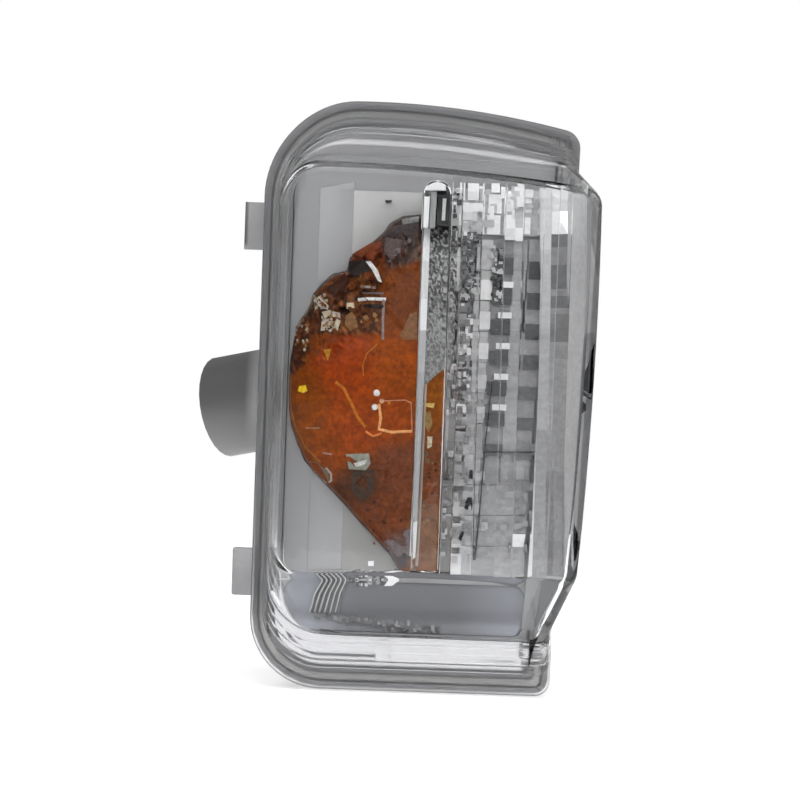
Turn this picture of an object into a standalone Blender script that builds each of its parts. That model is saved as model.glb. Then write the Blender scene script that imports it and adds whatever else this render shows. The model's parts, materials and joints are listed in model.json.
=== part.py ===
"""Vehicle indicator lamp with a clear fluted lens, an amber filter and a quarter-turn bulb holder.

The lamp stands upright as it does on the vehicle: +Z is up and the lens faces -Y. The flat
back wall of the housing lies in the plane y = 0 and the rim is centred on x = 0. All sizes
are in metres.
"""

import math
from collections import namedtuple

import bmesh
import bpy
from mathutils import Matrix, Vector

for old in list(bpy.data.objects):
    bpy.data.objects.remove(old, do_unlink=True)

# Rim of the lens, seen from the front
RIM_WIDTH = 0.0629
RIM_TOP = 0.0575
RIM_BOTTOM = 0.0589
RIM_TOP_DROP = 0.0037
RIM_LEAN = 0.0026
RIM_CROWN = 0.0030
CORNER_TOP_LEFT = 0.0170
CORNER_BOTTOM_LEFT = 0.0145
CORNER_RIGHT = 0.0030

# Step around the rim, and the ledge that runs from it to the foot of the window
RIM_THICKNESS = 0.0030
STEP_RISE = 0.0015
STEP_LEFT = 0.0024
STEP_TOP = 0.0036
STEP_BOTTOM = 0.0044
STEP_RIGHT = 0.0002
LEDGE_LEFT = 0.0047
LEDGE_TOP = 0.0065
LEDGE_BOTTOM = 0.0110
LEDGE_RIGHT = 0.0004

# Raised window: how it slopes from its foot to its front, and its curved front
WINDOW_DEPTH = 0.0135
SLOPE_TOP = 0.0056
SLOPE_BOTTOM = 0.0115
OVERHANG_RIGHT = 0.0045
SHOULDER_WIDTH = 0.0120
FRONT_SWEEP = 0.0025
WINDOW_BULGE = 0.0009
WINDOW_BELLY = 0.0015
WINDOW_CORNER = 0.0075
LENS_WALL = 0.0022

# Clear light bar and flutes inside the window
BAR_CENTRE = 0.0040
BAR_WIDTH = 0.0080
BAR_DEPTH = 0.0045
BAR_ROUNDING = 0.0015
FLUTE_COUNT = 6
FLUTE_FIRST = 0.0044
FLUTE_LAST = 0.0028
FLUTE_DEPTH = 0.0012

# Tongue of the lens, groove of the housing and the bead between them
TONGUE_INSET = 0.0019
TONGUE_WIDTH = 0.0010
TONGUE_LENGTH = 0.0013
GROOVE_INSET = 0.0014
GROOVE_WIDTH = 0.0020
BEAD_HEIGHT = 0.0008

# Housing: a bowl with a flange
HOUSING_DEPTH = 0.0297
FLANGE_THICKNESS = 0.0044
FLANGE_SETBACK = 0.0004
BOWL_INSET = 0.0024
BOWL_DRAFT = 0.0031
BOWL_WALL = 0.0020

# Square tabs on the left edge, and the snap catch behind the right edge
TAB_REACH = 0.0039
TAB_HEIGHT = 0.0095
TAB_THICKNESS = 0.0025
UPPER_TAB_HEIGHT = 0.0334
LOWER_TAB_HEIGHT = -0.0360
CATCH_HEIGHT = 0.0100
CATCH_REACH = 0.0022
CATCH_FRONT = 0.0195
CATCH_LENGTH = 0.0110

# Socket tube, measured from the centre of its mouth along its own axis
TUBE_MOUTH = Vector((-0.0394, -0.0099, -0.0033))
TUBE_YAW = math.radians(24.9)
TUBE_PITCH = math.radians(10.9)
TUBE_DIAMETER = 0.0208
TUBE_WALL = 0.0014
TUBE_LENGTH = 0.0200
COLLAR_START = 0.0050
COLLAR_THICKNESS = 0.0020
COLLAR_STEP = 0.0010

# Bulb holder and its lugs
HOLDER_RECESS = 0.0012
HOLDER_FLANGE = 0.0024
HOLDER_END = 0.0148
LUG_COUNT = 3
LUG_WIDTH = 0.0045
LUG_THICKNESS = 0.0020
UNLOCK_TURN = math.radians(45.0)
INLET_MARGIN = 0.0012
INLET_DEPTH = 0.0060
SLOT_WIDTH = 0.0107
WEB_THICKNESS = 0.0012
SEAL_HEIGHT = 0.0008

# Contacts
BLADE_OFFSET = 0.0034
BLADE_WIDTH = 0.0028
BLADE_THICKNESS = 0.0006
CONTACT_SPREAD = 0.0026

# Wedge-base bulb
BULB_DIAMETER = 0.0146
BULB_LENGTH = 0.0330
BULB_FOOT_LENGTH = 0.0070
BULB_FOOT_WIDTH = 0.0095
BULB_FOOT_THICKNESS = 0.0021
BULB_GLASS = 0.0008
LEAD_DIAMETER = 0.0005
LEAD_BORE = 0.0012
FILAMENT_HEIGHT = 0.0130
FILAMENT_RADIUS = 0.0006
FILAMENT_TURNS = 6

# Amber filter: a dome over a D outline whose straight side is on the right
AMBER_RIGHT = 0.0060
AMBER_LEFT = 0.0270
AMBER_TOP = 0.0430
AMBER_BOTTOM = 0.0364
AMBER_WALL = 0.0015
AMBER_SHOULDER = 0.0029
AMBER_TO_BAR = 0.0008
AMBER_TO_TUBE = 0.0005
AMBER_SEGMENT = 0.0080
DOME_POWER = 0.8
DOME_ANGLES = (22, 42, 58, 70, 80)

# Corners of the D outline: side and how far in from it, end and how far in from it, rounding, points
AMBER_CORNERS = (
    ("right", 0.0, "bottom", 0.0, 0.0010, 1), ("right", 0.0, "top", 0.0, 0.0010, 1),
    ("right", 0.0120, "top", 0.0020, 0.0120, 4), ("right", 0.0262, "top", 0.0170, 0.0140, 3),
    ("left", 0.0, "top", 0.0348, 0.0060, 3), ("left", 0.0002, "bottom", 0.0334, 0.0110, 3),
    ("left", 0.0068, "bottom", 0.0218, 0.0180, 3), ("right", 0.0072, "bottom", 0.0, 0.0030, 2))

# Insert that fills the bowl's mouth: a plate round the amber filter, with steps behind the flutes
INSERT_SETBACK = 0.0003
INSERT_PLATE = 0.0012
INSERT_TO_AMBER = 0.0004
INSERT_LEG = 0.0015
INSERT_LEG_INSET = 0.0010
LEG_TOP = 0.0440
LEG_BOTTOM = 0.0460
STEP_PITCH = 0.00615
STEP_DEPTH = 0.0022
STEP_COUNT = 11
STEPS_TOP = 0.0325
STEPS_LEFT = 0.0083
STEP_LIP = 0.2

# Flat deck on the insert's left half, and the pilaster beside it
DECK_LEFT = 0.0136
DECK_TOP = 0.0412
DECK_BOTTOM = 0.0362
DECK_RISE = 0.0009
PILASTER_WIDTH = 0.0068
PILASTER_TOP = 0.0430
PILASTER_SLANT = 0.0016
PILASTER_RISE = 0.0005

# Breather stub under the housing, and its cap
VENT_PLACE = 0.0120
VENT_SETBACK = 0.0120
VENT_DIAMETER = 0.0052
VENT_BORE = 0.0024
VENT_LENGTH = 0.0022
CAP_WALL = 0.0010
CAP_LENGTH = 0.0030

# Clearance between pieces that touch
SEAT = 0.0003

# Depths that follow from the sizes above
LENS_BACK = HOUSING_DEPTH + SEAT
STEP_FRONT = LENS_BACK + RIM_THICKNESS
WINDOW_FOOT = STEP_FRONT + STEP_RISE
WINDOW_FRONT = WINDOW_FOOT + WINDOW_DEPTH
FLOOR_INSET = BOWL_INSET + BOWL_DRAFT + BOWL_WALL
CAVITY_INSET = BOWL_INSET + BOWL_WALL
INSERT_FRONT = HOUSING_DEPTH - INSERT_SETBACK

# How finely the round shapes are divided
LEFT_CORNER_STEPS = 6
RIGHT_CORNER_STEPS = 3
FLUTE_SIDES = 8
FRONT_SCALES = (1.0, 0.985, 0.95, 0.88, 0.76, 0.6, 0.35)
ROUND_SIDES = 28
MERGE = 0.00001

PARTS = bpy.data.collections.new("vehicle_indicator_lamp")
CUTTERS = bpy.data.collections.new("cutters")
bpy.context.scene.collection.children.link(PARTS)
bpy.context.scene.collection.children.link(CUTTERS)


def material(name, colour, roughness, metallic=0.0, transmission=0.0):
    """A Principled material of one plain finish."""
    made = bpy.data.materials.new(name)
    made.use_nodes = True
    shader = made.node_tree.nodes["Principled BSDF"]
    shader.inputs["Base Color"].default_value = (*colour, 1.0)
    shader.inputs["Roughness"].default_value = roughness
    shader.inputs["Metallic"].default_value = metallic
    shader.inputs["Transmission Weight"].default_value = transmission
    made.diffuse_color = (*colour, 1.0)
    return made


CLEAR_LENS = material("clear_lens", (0.80, 0.81, 0.82), 0.05, transmission=0.9)
GREY_MOULDING = material("grey_moulding", (0.42, 0.42, 0.41), 0.45)
AMBER_PLASTIC = material("amber_plastic", (0.72, 0.20, 0.02), 0.15, transmission=0.6)
BRIGHT_COATING = material("bright_coating", (0.80, 0.80, 0.82), 0.18, metallic=1.0)
ADHESIVE = material("adhesive", (0.55, 0.55, 0.53), 0.6)
BULB_GLASS_FINISH = material("bulb_glass_finish", (0.90, 0.92, 0.93), 0.02, transmission=1.0)
TUNGSTEN = material("tungsten", (0.35, 0.34, 0.33), 0.35, metallic=1.0)
HOLDER_PLASTIC = material("holder_plastic", (0.05, 0.05, 0.055), 0.5)
SOFT_RUBBER = material("soft_rubber", (0.03, 0.03, 0.03), 0.8)
BRASS = material("contact_brass", (0.70, 0.52, 0.22), 0.3, metallic=1.0)


def add_object(name, mesh, finish=None, cutter=False, parent=None):
    """Put a mesh in the lamp's collection, or in the cutters' collection."""
    made = bpy.data.objects.new(name, mesh)
    if cutter:
        CUTTERS.objects.link(made)
        made.hide_render = True
        made.display_type = "WIRE"
    else:
        PARTS.objects.link(made)
        mesh.materials.append(finish)
    made.parent = parent
    return made


def boolean(target, other, operation):
    """Join, cut or intersect a piece with another solid, exactly."""
    step = target.modifiers.new(other.name, "BOOLEAN")
    step.operation = operation
    step.object = other
    step.solver = "EXACT"


def smooth(piece, angle=35.0):
    """Shade the round faces of a piece smooth and keep its edges sharp."""
    piece.data.shade_smooth()
    piece.data.set_sharp_from_angle(angle=math.radians(angle))


def loft(rings, first_tip=None, last_tip=None, closed=False):
    """Mesh through rings of equal point counts, ended by tips or flat faces."""
    sheet = bmesh.new()
    rows = [[sheet.verts.new(point) for point in ring] for ring in rings]
    count = len(rows[0])
    pairs = list(zip(rows, rows[1:]))
    if closed:
        pairs.append((rows[-1], rows[0]))
    for lower, upper in pairs:
        for i in range(count):
            j = (i + 1) % count
            sheet.faces.new((lower[i], lower[j], upper[j], upper[i]))
    if not closed:
        for row, tip in ((rows[0], first_tip), (rows[-1], last_tip)):
            if tip is None:
                sheet.faces.new(row)
                continue
            point = sheet.verts.new(tip)
            for i in range(count):
                sheet.faces.new((row[i], row[(i + 1) % count], point))
    bmesh.ops.recalc_face_normals(sheet, faces=sheet.faces)
    mesh = bpy.data.meshes.new("loft")
    sheet.to_mesh(mesh)
    sheet.free()
    return mesh


def block(low, high):
    """Box mesh between two corners."""
    low, high = Vector(low), Vector(high)
    sheet = bmesh.new()
    bmesh.ops.create_cube(sheet, size=1.0)
    bmesh.ops.scale(sheet, vec=high - low, verts=sheet.verts)
    bmesh.ops.translate(sheet, vec=(low + high) / 2, verts=sheet.verts)
    mesh = bpy.data.meshes.new("block")
    sheet.to_mesh(mesh)
    sheet.free()
    return mesh


def rod(radius, start, end, sides=ROUND_SIDES):
    """Cylinder mesh along local Z."""
    sheet = bmesh.new()
    bmesh.ops.create_cone(sheet, cap_ends=True, segments=sides, radius1=radius,
                          radius2=radius, depth=end - start)
    bmesh.ops.translate(sheet, vec=(0, 0, (start + end) / 2), verts=sheet.verts)
    mesh = bpy.data.meshes.new("rod")
    sheet.to_mesh(mesh)
    sheet.free()
    return mesh


def turned(name, profile, finish=None, ring=False, sides=ROUND_SIDES, **where):
    """Solid of revolution about local Z; the profile of (radius, height) runs down its outside."""
    mesh = bpy.data.meshes.new(name)
    edges = [(i, i + 1) for i in range(len(profile) - 1)]
    if ring:
        edges.append((len(profile) - 1, 0))
    mesh.from_pydata([(radius, 0.0, height) for radius, height in profile], edges, [])
    made = add_object(name, mesh, finish, **where)
    screw = made.modifiers.new("turn", "SCREW")
    screw.steps = sides
    screw.render_steps = sides
    screw.use_merge_vertices = True
    screw.merge_threshold = MERGE
    screw.use_smooth_shade = True
    return made


def prism(corners, back, front):
    """Mesh of a flat outline of (x, z) corners, standing between two depths."""
    rings = [[(x, -depth, z) for x, z in corners] for depth in (back, front)]
    return loft(rings)


def rounded(corners, radii, steps):
    """Points around a polygon with its corners rounded, as one list for each corner."""
    arcs = []
    count = len(corners)
    for i in range(count):
        corner = Vector(corners[i])
        before = (Vector(corners[i - 1]) - corner).normalized()
        after = (Vector(corners[(i + 1) % count]) - corner).normalized()
        half = before.angle(after) / 2
        centre = corner + (before + after).normalized() * radii[i] / math.sin(half)
        start = corner + before * radii[i] / math.tan(half) - centre
        sweep = start.angle_signed(corner + after * radii[i] / math.tan(half) - centre)
        turns = (Matrix.Rotation(-sweep * k / steps[i], 2) for k in range(steps[i] + 1))
        arcs.append([centre + turn @ start for turn in turns])
    return arcs


Outline = namedtuple("Outline", "left right_low right_high bottom_left bottom_right top_left "
                                "top_right crown belly bulge corners")


def rim_outline():
    """Outer edge of the lens."""
    half = RIM_WIDTH / 2
    corners = (CORNER_BOTTOM_LEFT, CORNER_RIGHT, CORNER_RIGHT, CORNER_TOP_LEFT)
    return Outline(-half, half - RIM_LEAN, half, -RIM_BOTTOM, -RIM_BOTTOM, RIM_TOP,
                   RIM_TOP - RIM_TOP_DROP, RIM_CROWN, 0.0, 0.0, corners)


def inset(outline, left, right, bottom, top):
    """The same outline drawn in by its own amount on each side."""
    drawn_in = (min(left, bottom), min(right, bottom), min(right, top), min(left, top))
    corners = tuple(max(radius - gap, CORNER_RIGHT / 3)
                    for radius, gap in zip(outline.corners, drawn_in))
    return outline._replace(
        left=outline.left + left,
        right_low=outline.right_low - right, right_high=outline.right_high - right,
        bottom_left=outline.bottom_left + bottom, bottom_right=outline.bottom_right + bottom,
        top_left=outline.top_left - top, top_right=outline.top_right - top, corners=corners)


def shrunk(outline, gap):
    """The same outline drawn in evenly."""
    return inset(outline, gap, gap, gap, gap)


def window_foot():
    """Line where the raised window leaves the ledge."""
    foot = inset(rim_outline(), LEDGE_LEFT, LEDGE_RIGHT, LEDGE_BOTTOM, LEDGE_TOP)
    return foot._replace(crown=RIM_CROWN * 0.6)


def window_front():
    """Line where the slopes of the window meet its front."""
    front = inset(window_foot(), MERGE * 50, -OVERHANG_RIGHT, SLOPE_BOTTOM, SLOPE_TOP)
    corners = (WINDOW_CORNER, CORNER_RIGHT, CORNER_RIGHT, WINDOW_CORNER)
    return front._replace(crown=RIM_CROWN * 0.4, belly=WINDOW_BELLY, bulge=WINDOW_BULGE,
                          corners=corners)


def outline_points(outline):
    """(x, z) points around an outline, with its crown, belly and bulge."""
    corners = ((outline.left, outline.bottom_left), (outline.right_low, outline.bottom_right),
               (outline.right_high, outline.top_right), (outline.left, outline.top_left))
    steps = (LEFT_CORNER_STEPS, RIGHT_CORNER_STEPS, RIGHT_CORNER_STEPS, LEFT_CORNER_STEPS)
    arcs = rounded(corners, outline.corners, steps)
    points = []
    for side, between in enumerate((3, 3, 5, 2)):
        arc, following = arcs[side], arcs[(side + 1) % 4]
        points += arc
        for k in range(1, between + 1):
            points.append(arc[-1].lerp(following[0], k / (between + 1)))
    shaped = []
    for index, point in enumerate(points):
        x, z = point
        across = (x - outline.left) / (outline.right_high - outline.left)
        swell = 4 * across * (1 - across)
        upper = z > (outline.top_left + outline.bottom_left) / 2
        z += (outline.crown if upper else outline.belly) * swell
        first_right = LEFT_CORNER_STEPS + 4
        last_right = first_right + 2 * RIGHT_CORNER_STEPS + 4
        if first_right <= index <= last_right:
            height = outline.top_right - outline.bottom_right
            rise = min(max((point[1] - outline.bottom_right) / height, 0.0), 1.0)
            x += outline.bulge * 4 * rise * (1 - rise)
        shaped.append((x, z))
    return shaped


def ring(outline, depth):
    """Outline at one depth in front of the back wall."""
    return [Vector((x, -depth, z)) for x, z in outline_points(outline)]


def front_depth(x, wall=0.0):
    """How far the window's front stands from the back wall at x, or its inside."""
    crest_x = window_foot().left + SHOULDER_WIDTH
    if x >= crest_x:
        return WINDOW_FRONT - FRONT_SWEEP * (2 * x / RIM_WIDTH) ** 2 - wall
    crest = front_depth(crest_x) - WINDOW_FOOT - wall
    reach = min((crest_x - x) / (SHOULDER_WIDTH - wall), 1.0)
    return WINDOW_FOOT + crest * math.sqrt(1 - reach ** 2)


def front_rings(outline, wall=0.0):
    """Rings that close the window's front, from its edge inwards, and their middle."""
    edge = outline_points(outline)
    middle_x = (outline.left + outline.right_high) / 2
    middle_z = (outline.top_left + outline.bottom_left) / 2
    rings = []
    for scale in FRONT_SCALES:
        row = []
        for x, z in edge:
            scaled_x = middle_x + (x - middle_x) * scale
            scaled_z = middle_z + (z - middle_z) * scale
            row.append(Vector((scaled_x, -front_depth(scaled_x, wall), scaled_z)))
        rings.append(row)
    return rings, Vector((middle_x, -front_depth(middle_x, wall), middle_z))


def lens_shell():
    """Clear shell: up the outside from the joint, and back down the inside."""
    rim = rim_outline()
    step = inset(rim, STEP_LEFT, STEP_RIGHT, STEP_BOTTOM, STEP_TOP)
    opening = shrunk(rim, CAVITY_INSET)
    tongue_in = shrunk(rim, TONGUE_INSET + TONGUE_WIDTH)
    tongue_out = shrunk(rim, TONGUE_INSET)
    outside, outer_tip = front_rings(window_front())
    inside, inner_tip = front_rings(shrunk(window_front(), LENS_WALL), LENS_WALL)
    rings = list(reversed(inside))
    rings.append(ring(shrunk(window_foot(), LENS_WALL), WINDOW_FOOT - LENS_WALL * 0.6))
    rings.append(ring(opening, LENS_BACK + RIM_THICKNESS / 2))
    rings.append(ring(opening, LENS_BACK))
    rings.append(ring(tongue_in, LENS_BACK))
    rings.append(ring(tongue_in, LENS_BACK - TONGUE_LENGTH))
    rings.append(ring(tongue_out, LENS_BACK - TONGUE_LENGTH))
    rings.append(ring(tongue_out, LENS_BACK))
    rings.append(ring(rim, LENS_BACK))
    rings.append(ring(rim, STEP_FRONT))
    rings.append(ring(step, STEP_FRONT))
    rings.append(ring(step, WINDOW_FOOT))
    rings.append(ring(window_foot(), WINDOW_FOOT))
    rings += outside
    return loft(rings, inner_tip, outer_tip)


def window_edge(x, upper):
    """Height of the window's upper or lower edge at x."""
    edge = window_front()
    across = (x - edge.left) / (edge.right_high - edge.left)
    swell = 4 * across * (1 - across)
    if upper:
        drop = edge.top_left - edge.top_right
        return edge.top_left - drop * across + edge.crown * swell
    drop = edge.bottom_left - edge.bottom_right
    return edge.bottom_left - drop * across + edge.belly * swell


def add_flute(lens, centre, width, depth, number):
    """Vertical rib with a round inner face, rooted in the middle of the window's wall."""
    root = LENS_WALL / 2 - front_depth(centre)
    profile = []
    for k in range(FLUTE_SIDES + 1):
        turn = math.pi * k / FLUTE_SIDES
        reach = LENS_WALL / 2 + depth * math.sin(turn) if 0 < k < FLUTE_SIDES else 0.0
        profile.append((centre + width / 2 * math.cos(turn), root + reach))
    low = window_edge(centre, False) + LENS_WALL / 2
    high = window_edge(centre, True) - LENS_WALL / 2
    rings = [[(x, y, z) for x, y in profile] for z in (low, high)]
    boolean(lens, add_object(f"flute_{number}", loft(rings), cutter=True), "UNION")


def make_lens():
    """Lens with its light bar, flutes and lower tab."""
    lens = add_object("outer_lens", lens_shell(), CLEAR_LENS)
    bar_left = BAR_CENTRE - BAR_WIDTH / 2
    inner_face = front_depth(BAR_CENTRE, LENS_WALL)
    bar = add_object("light_bar", block(
        (bar_left, -inner_face - LENS_WALL / 2, window_edge(BAR_CENTRE, False) + LENS_WALL / 2),
        (bar_left + BAR_WIDTH, -inner_face + BAR_DEPTH,
         window_edge(BAR_CENTRE, True) - LENS_WALL / 2)), cutter=True)
    rounding = bar.modifiers.new("rounding", "BEVEL")
    rounding.width = min(BAR_ROUNDING, BAR_WIDTH * 0.4)
    rounding.segments = 3
    boolean(lens, bar, "UNION")
    left = bar_left + BAR_WIDTH
    for number in range(FLUTE_COUNT):
        share = number / max(FLUTE_COUNT - 1, 1)
        width = FLUTE_FIRST + (FLUTE_LAST - FLUTE_FIRST) * share
        add_flute(lens, left + width / 2, width, FLUTE_DEPTH, number + 1)
        left += width
    edge = -RIM_WIDTH / 2
    tab = add_object("lower_tab", block(
        (edge - TAB_REACH, -LENS_BACK - TAB_THICKNESS, LOWER_TAB_HEIGHT - TAB_HEIGHT / 2),
        (edge + STEP_LEFT / 2, -LENS_BACK - SEAT, LOWER_TAB_HEIGHT + TAB_HEIGHT / 2)), cutter=True)
    boolean(lens, tab, "UNION")
    smooth(lens)
    return lens


def tube_frame():
    """Frame of the socket tube: local Z runs into the lamp, local X is level."""
    inward = Vector((math.cos(TUBE_PITCH) * math.cos(TUBE_YAW),
                     -math.cos(TUBE_PITCH) * math.sin(TUBE_YAW), math.sin(TUBE_PITCH)))
    upward = (Vector((0, 0, 1)) - inward * inward.z).normalized()
    frame = Matrix((upward.cross(inward), upward, inward)).transposed().to_4x4()
    frame.translation = TUBE_MOUTH
    return frame


TUBE_FRAME = tube_frame()
TUBE_RADIUS = TUBE_DIAMETER / 2
BORE_RADIUS = TUBE_RADIUS - TUBE_WALL
COLLAR_RADIUS = BORE_RADIUS - COLLAR_STEP
COLLAR_END = COLLAR_START + COLLAR_THICKNESS


def cavity(extra=0.0, front=0.0):
    """Inside of the bowl, drawn in by a clearance where one is given."""
    rim = rim_outline()
    opening = shrunk(rim, CAVITY_INSET + extra)
    floor = shrunk(rim, FLOOR_INSET + extra)
    floor_depth = BOWL_WALL + extra
    return loft([ring(floor, floor_depth), ring(opening, HOUSING_DEPTH - FLANGE_THICKNESS),
                 ring(opening, HOUSING_DEPTH + front)])


def bowl():
    """Outside of the housing with its flange, as a solid."""
    rim = rim_outline()
    flange = shrunk(rim, FLANGE_SETBACK)
    under = HOUSING_DEPTH - FLANGE_THICKNESS
    return loft([ring(shrunk(rim, BOWL_INSET + BOWL_DRAFT), 0.0),
                 ring(shrunk(rim, BOWL_INSET), under), ring(flange, under),
                 ring(flange, HOUSING_DEPTH)])


def groove_ring(near, far, start, end):
    """Closed ring that follows the rim between two insets and two depths."""
    rim = rim_outline()
    outer, inner = shrunk(rim, near), shrunk(rim, far)
    return loft([ring(outer, start), ring(outer, end), ring(inner, end), ring(inner, start)],
                closed=True)


def tube_cut():
    """Everything that is hollow in the tube: mouth, collar and bore, with the lugs' notches."""
    far = TUBE_LENGTH + BOWL_WALL
    cut = turned("tube_bore", [
        (0.0, far), (BORE_RADIUS, far), (BORE_RADIUS, COLLAR_END),
        (COLLAR_RADIUS, COLLAR_END), (COLLAR_RADIUS, COLLAR_START),
        (BORE_RADIUS, COLLAR_START), (BORE_RADIUS, -BOWL_WALL), (0.0, -BOWL_WALL)], cutter=True)
    for number in range(LUG_COUNT):
        notch = add_object(f"notch_{number + 1}", block(
            (COLLAR_RADIUS / 2, -LUG_WIDTH / 2 - 2 * SEAT, COLLAR_START - 2 * SEAT),
            (BORE_RADIUS, LUG_WIDTH / 2 + 2 * SEAT, COLLAR_END + 2 * SEAT)), cutter=True)
        notch.rotation_euler.z = lug_angle(number) - UNLOCK_TURN
        boolean(cut, notch, "UNION")
        notch.parent = cut
    cut.matrix_world = TUBE_FRAME
    return cut


def lug_angle(number):
    """Angle of one of the holder's lugs about the tube's axis."""
    return 2 * math.pi * number / LUG_COUNT


def make_housing():
    """Grey bowl with flange, groove, socket tube, tab, catch and breather stub."""
    housing = add_object("rear_housing", bowl(), GREY_MOULDING)
    rim = rim_outline()
    inside = add_object("bowl_inside", cavity(front=BOWL_WALL), cutter=True)
    boolean(housing, inside, "DIFFERENCE")
    tube = add_object("tube_outside", rod(TUBE_RADIUS, 0.0, TUBE_LENGTH), cutter=True)
    tube.matrix_world = TUBE_FRAME
    boolean(housing, tube, "UNION")
    tab = add_object("upper_tab", block(
        (rim.left - TAB_REACH, -HOUSING_DEPTH + SEAT, UPPER_TAB_HEIGHT - TAB_HEIGHT / 2),
        (rim.left + BOWL_INSET, -HOUSING_DEPTH + TAB_THICKNESS,
         UPPER_TAB_HEIGHT + TAB_HEIGHT / 2)), cutter=True)
    boolean(housing, tab, "UNION")
    wall = (rim.right_low + rim.right_high) / 2 - BOWL_INSET
    catch = add_object("catch", loft([
        [(wall - BOWL_WALL / 2, -CATCH_FRONT, z), (wall + CATCH_REACH, -CATCH_FRONT, z),
         (wall + CATCH_REACH, -CATCH_FRONT + CATCH_LENGTH / 5, z),
         (wall - BOWL_WALL / 2, -CATCH_FRONT + CATCH_LENGTH, z)]
        for z in (-CATCH_HEIGHT / 2, CATCH_HEIGHT / 2)]), cutter=True)
    boolean(housing, catch, "UNION")
    stub_top = rim.bottom_left + CAVITY_INSET
    stub = add_object("vent_stub", rod(VENT_DIAMETER / 2, vent_end(), stub_top, 16), cutter=True)
    stub.location = (VENT_PLACE, -VENT_SETBACK, 0.0)
    boolean(housing, stub, "UNION")
    boolean(housing, tube_cut(), "DIFFERENCE")
    groove = add_object("groove", groove_ring(
        GROOVE_INSET, GROOVE_INSET + GROOVE_WIDTH, HOUSING_DEPTH - groove_depth(),
        HOUSING_DEPTH + BOWL_WALL), cutter=True)
    boolean(housing, groove, "DIFFERENCE")
    bore_end = vent_end() - VENT_LENGTH
    bore = add_object("vent_bore", rod(VENT_BORE / 2, bore_end, stub_top + 4 * BOWL_WALL, 12),
                      cutter=True)
    bore.location = stub.location
    boolean(housing, bore, "DIFFERENCE")
    smooth(housing)
    return housing


def groove_depth():
    """Depth of the groove: the tongue, the bead and a seat on each side of the bead."""
    return TONGUE_LENGTH - SEAT + BEAD_HEIGHT + 2 * SEAT


def vent_end():
    """Height of the breather stub's lower end."""
    share = (HOUSING_DEPTH - FLANGE_THICKNESS - VENT_SETBACK) / (HOUSING_DEPTH - FLANGE_THICKNESS)
    return -RIM_BOTTOM + BOWL_INSET + BOWL_DRAFT * share - VENT_LENGTH


def make_seal():
    """Adhesive bead at the bottom of the groove."""
    start = HOUSING_DEPTH - groove_depth() + SEAT
    mesh = groove_ring(GROOVE_INSET + SEAT, GROOVE_INSET + GROOVE_WIDTH - SEAT, start,
                       start + BEAD_HEIGHT)
    seal = add_object("lens_seal", mesh, ADHESIVE)
    smooth(seal)
    return seal


def amber_outline():
    """D outline of the amber filter, as (x, z) points with its middle first."""
    sides = {"right": (AMBER_RIGHT, -1), "left": (-AMBER_LEFT, 1),
             "top": (AMBER_TOP, -1), "bottom": (-AMBER_BOTTOM, 1)}
    corners = []
    for side, across, end, along, *_ in AMBER_CORNERS:
        corners.append((sides[side][0] + sides[side][1] * across,
                        sides[end][0] + sides[end][1] * along))
    arcs = rounded(corners, [corner[4] for corner in AMBER_CORNERS],
                   [corner[5] for corner in AMBER_CORNERS])
    points = []
    for index, arc in enumerate(arcs):
        following = arcs[(index + 1) % len(arcs)][0]
        points += arc
        if (arc[-1] - following).length > AMBER_SEGMENT:
            points.append(arc[-1].lerp(following, 0.5))
    return points


def amber_line(scale, wall):
    """(x, z) points of the outline, scaled about its straight side and drawn in by a wall."""
    middle = (AMBER_TOP - AMBER_BOTTOM) / 2
    width, height = AMBER_RIGHT + AMBER_LEFT, AMBER_TOP + AMBER_BOTTOM
    points = []
    for point in amber_outline():
        x = (point.x - AMBER_RIGHT) * scale * (1.0 - 2 * wall / width)
        z = (point.y - middle) * scale * (1.0 - 2 * wall / height)
        points.append((AMBER_RIGHT - wall + x, middle + z))
    return points


def amber_rings(wall):
    """Rings of the skirt, the shoulder and the dome up to its crest, drawn in by a wall."""
    crest = amber_crest() - wall
    spring = LENS_BACK - 2 * SEAT - wall
    narrow = 1.0 - AMBER_SHOULDER / (AMBER_RIGHT + AMBER_LEFT)
    foot = BOWL_WALL + SEAT
    levels = [(1.0, foot - (MERGE * 30 if wall else 0.0)), (1.0, spring), (narrow, spring)]
    for angle in DOME_ANGLES:
        turn = math.radians(angle)
        depth = spring + (crest - spring) * math.sin(turn) ** DOME_POWER
        levels.append((narrow * math.cos(turn) ** DOME_POWER, depth))
    rings = [[Vector((x, -depth, z)) for x, z in amber_line(scale, wall)]
             for scale, depth in levels]
    tip = Vector((AMBER_RIGHT - wall, -crest, (AMBER_TOP - AMBER_BOTTOM) / 2))
    return rings, tip


def amber_crest():
    """Depth of the dome's crest, just behind the light bar."""
    return front_depth(BAR_CENTRE, LENS_WALL) - BAR_DEPTH - AMBER_TO_BAR


def make_amber():
    """Amber dome, open at the back, cut to fit the bowl and with a hole for the tube."""
    outside, outer_tip = amber_rings(0.0)
    amber = add_object("amber_filter", loft(outside, None, outer_tip), AMBER_PLASTIC)
    fit = add_object("amber_fit", cavity(SEAT, WINDOW_DEPTH), cutter=True)
    boolean(amber, fit, "INTERSECT")
    inside, inner_tip = amber_rings(AMBER_WALL)
    hollow = add_object("amber_inside", loft(inside, None, inner_tip), cutter=True)
    boolean(amber, hollow, "DIFFERENCE")
    hole = add_object("amber_hole", rod(TUBE_RADIUS + AMBER_TO_TUBE, 0.0,
                                        TUBE_LENGTH + AMBER_TO_TUBE), cutter=True)
    hole.matrix_world = TUBE_FRAME
    boolean(amber, hole, "DIFFERENCE")
    smooth(amber)
    return amber


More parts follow.
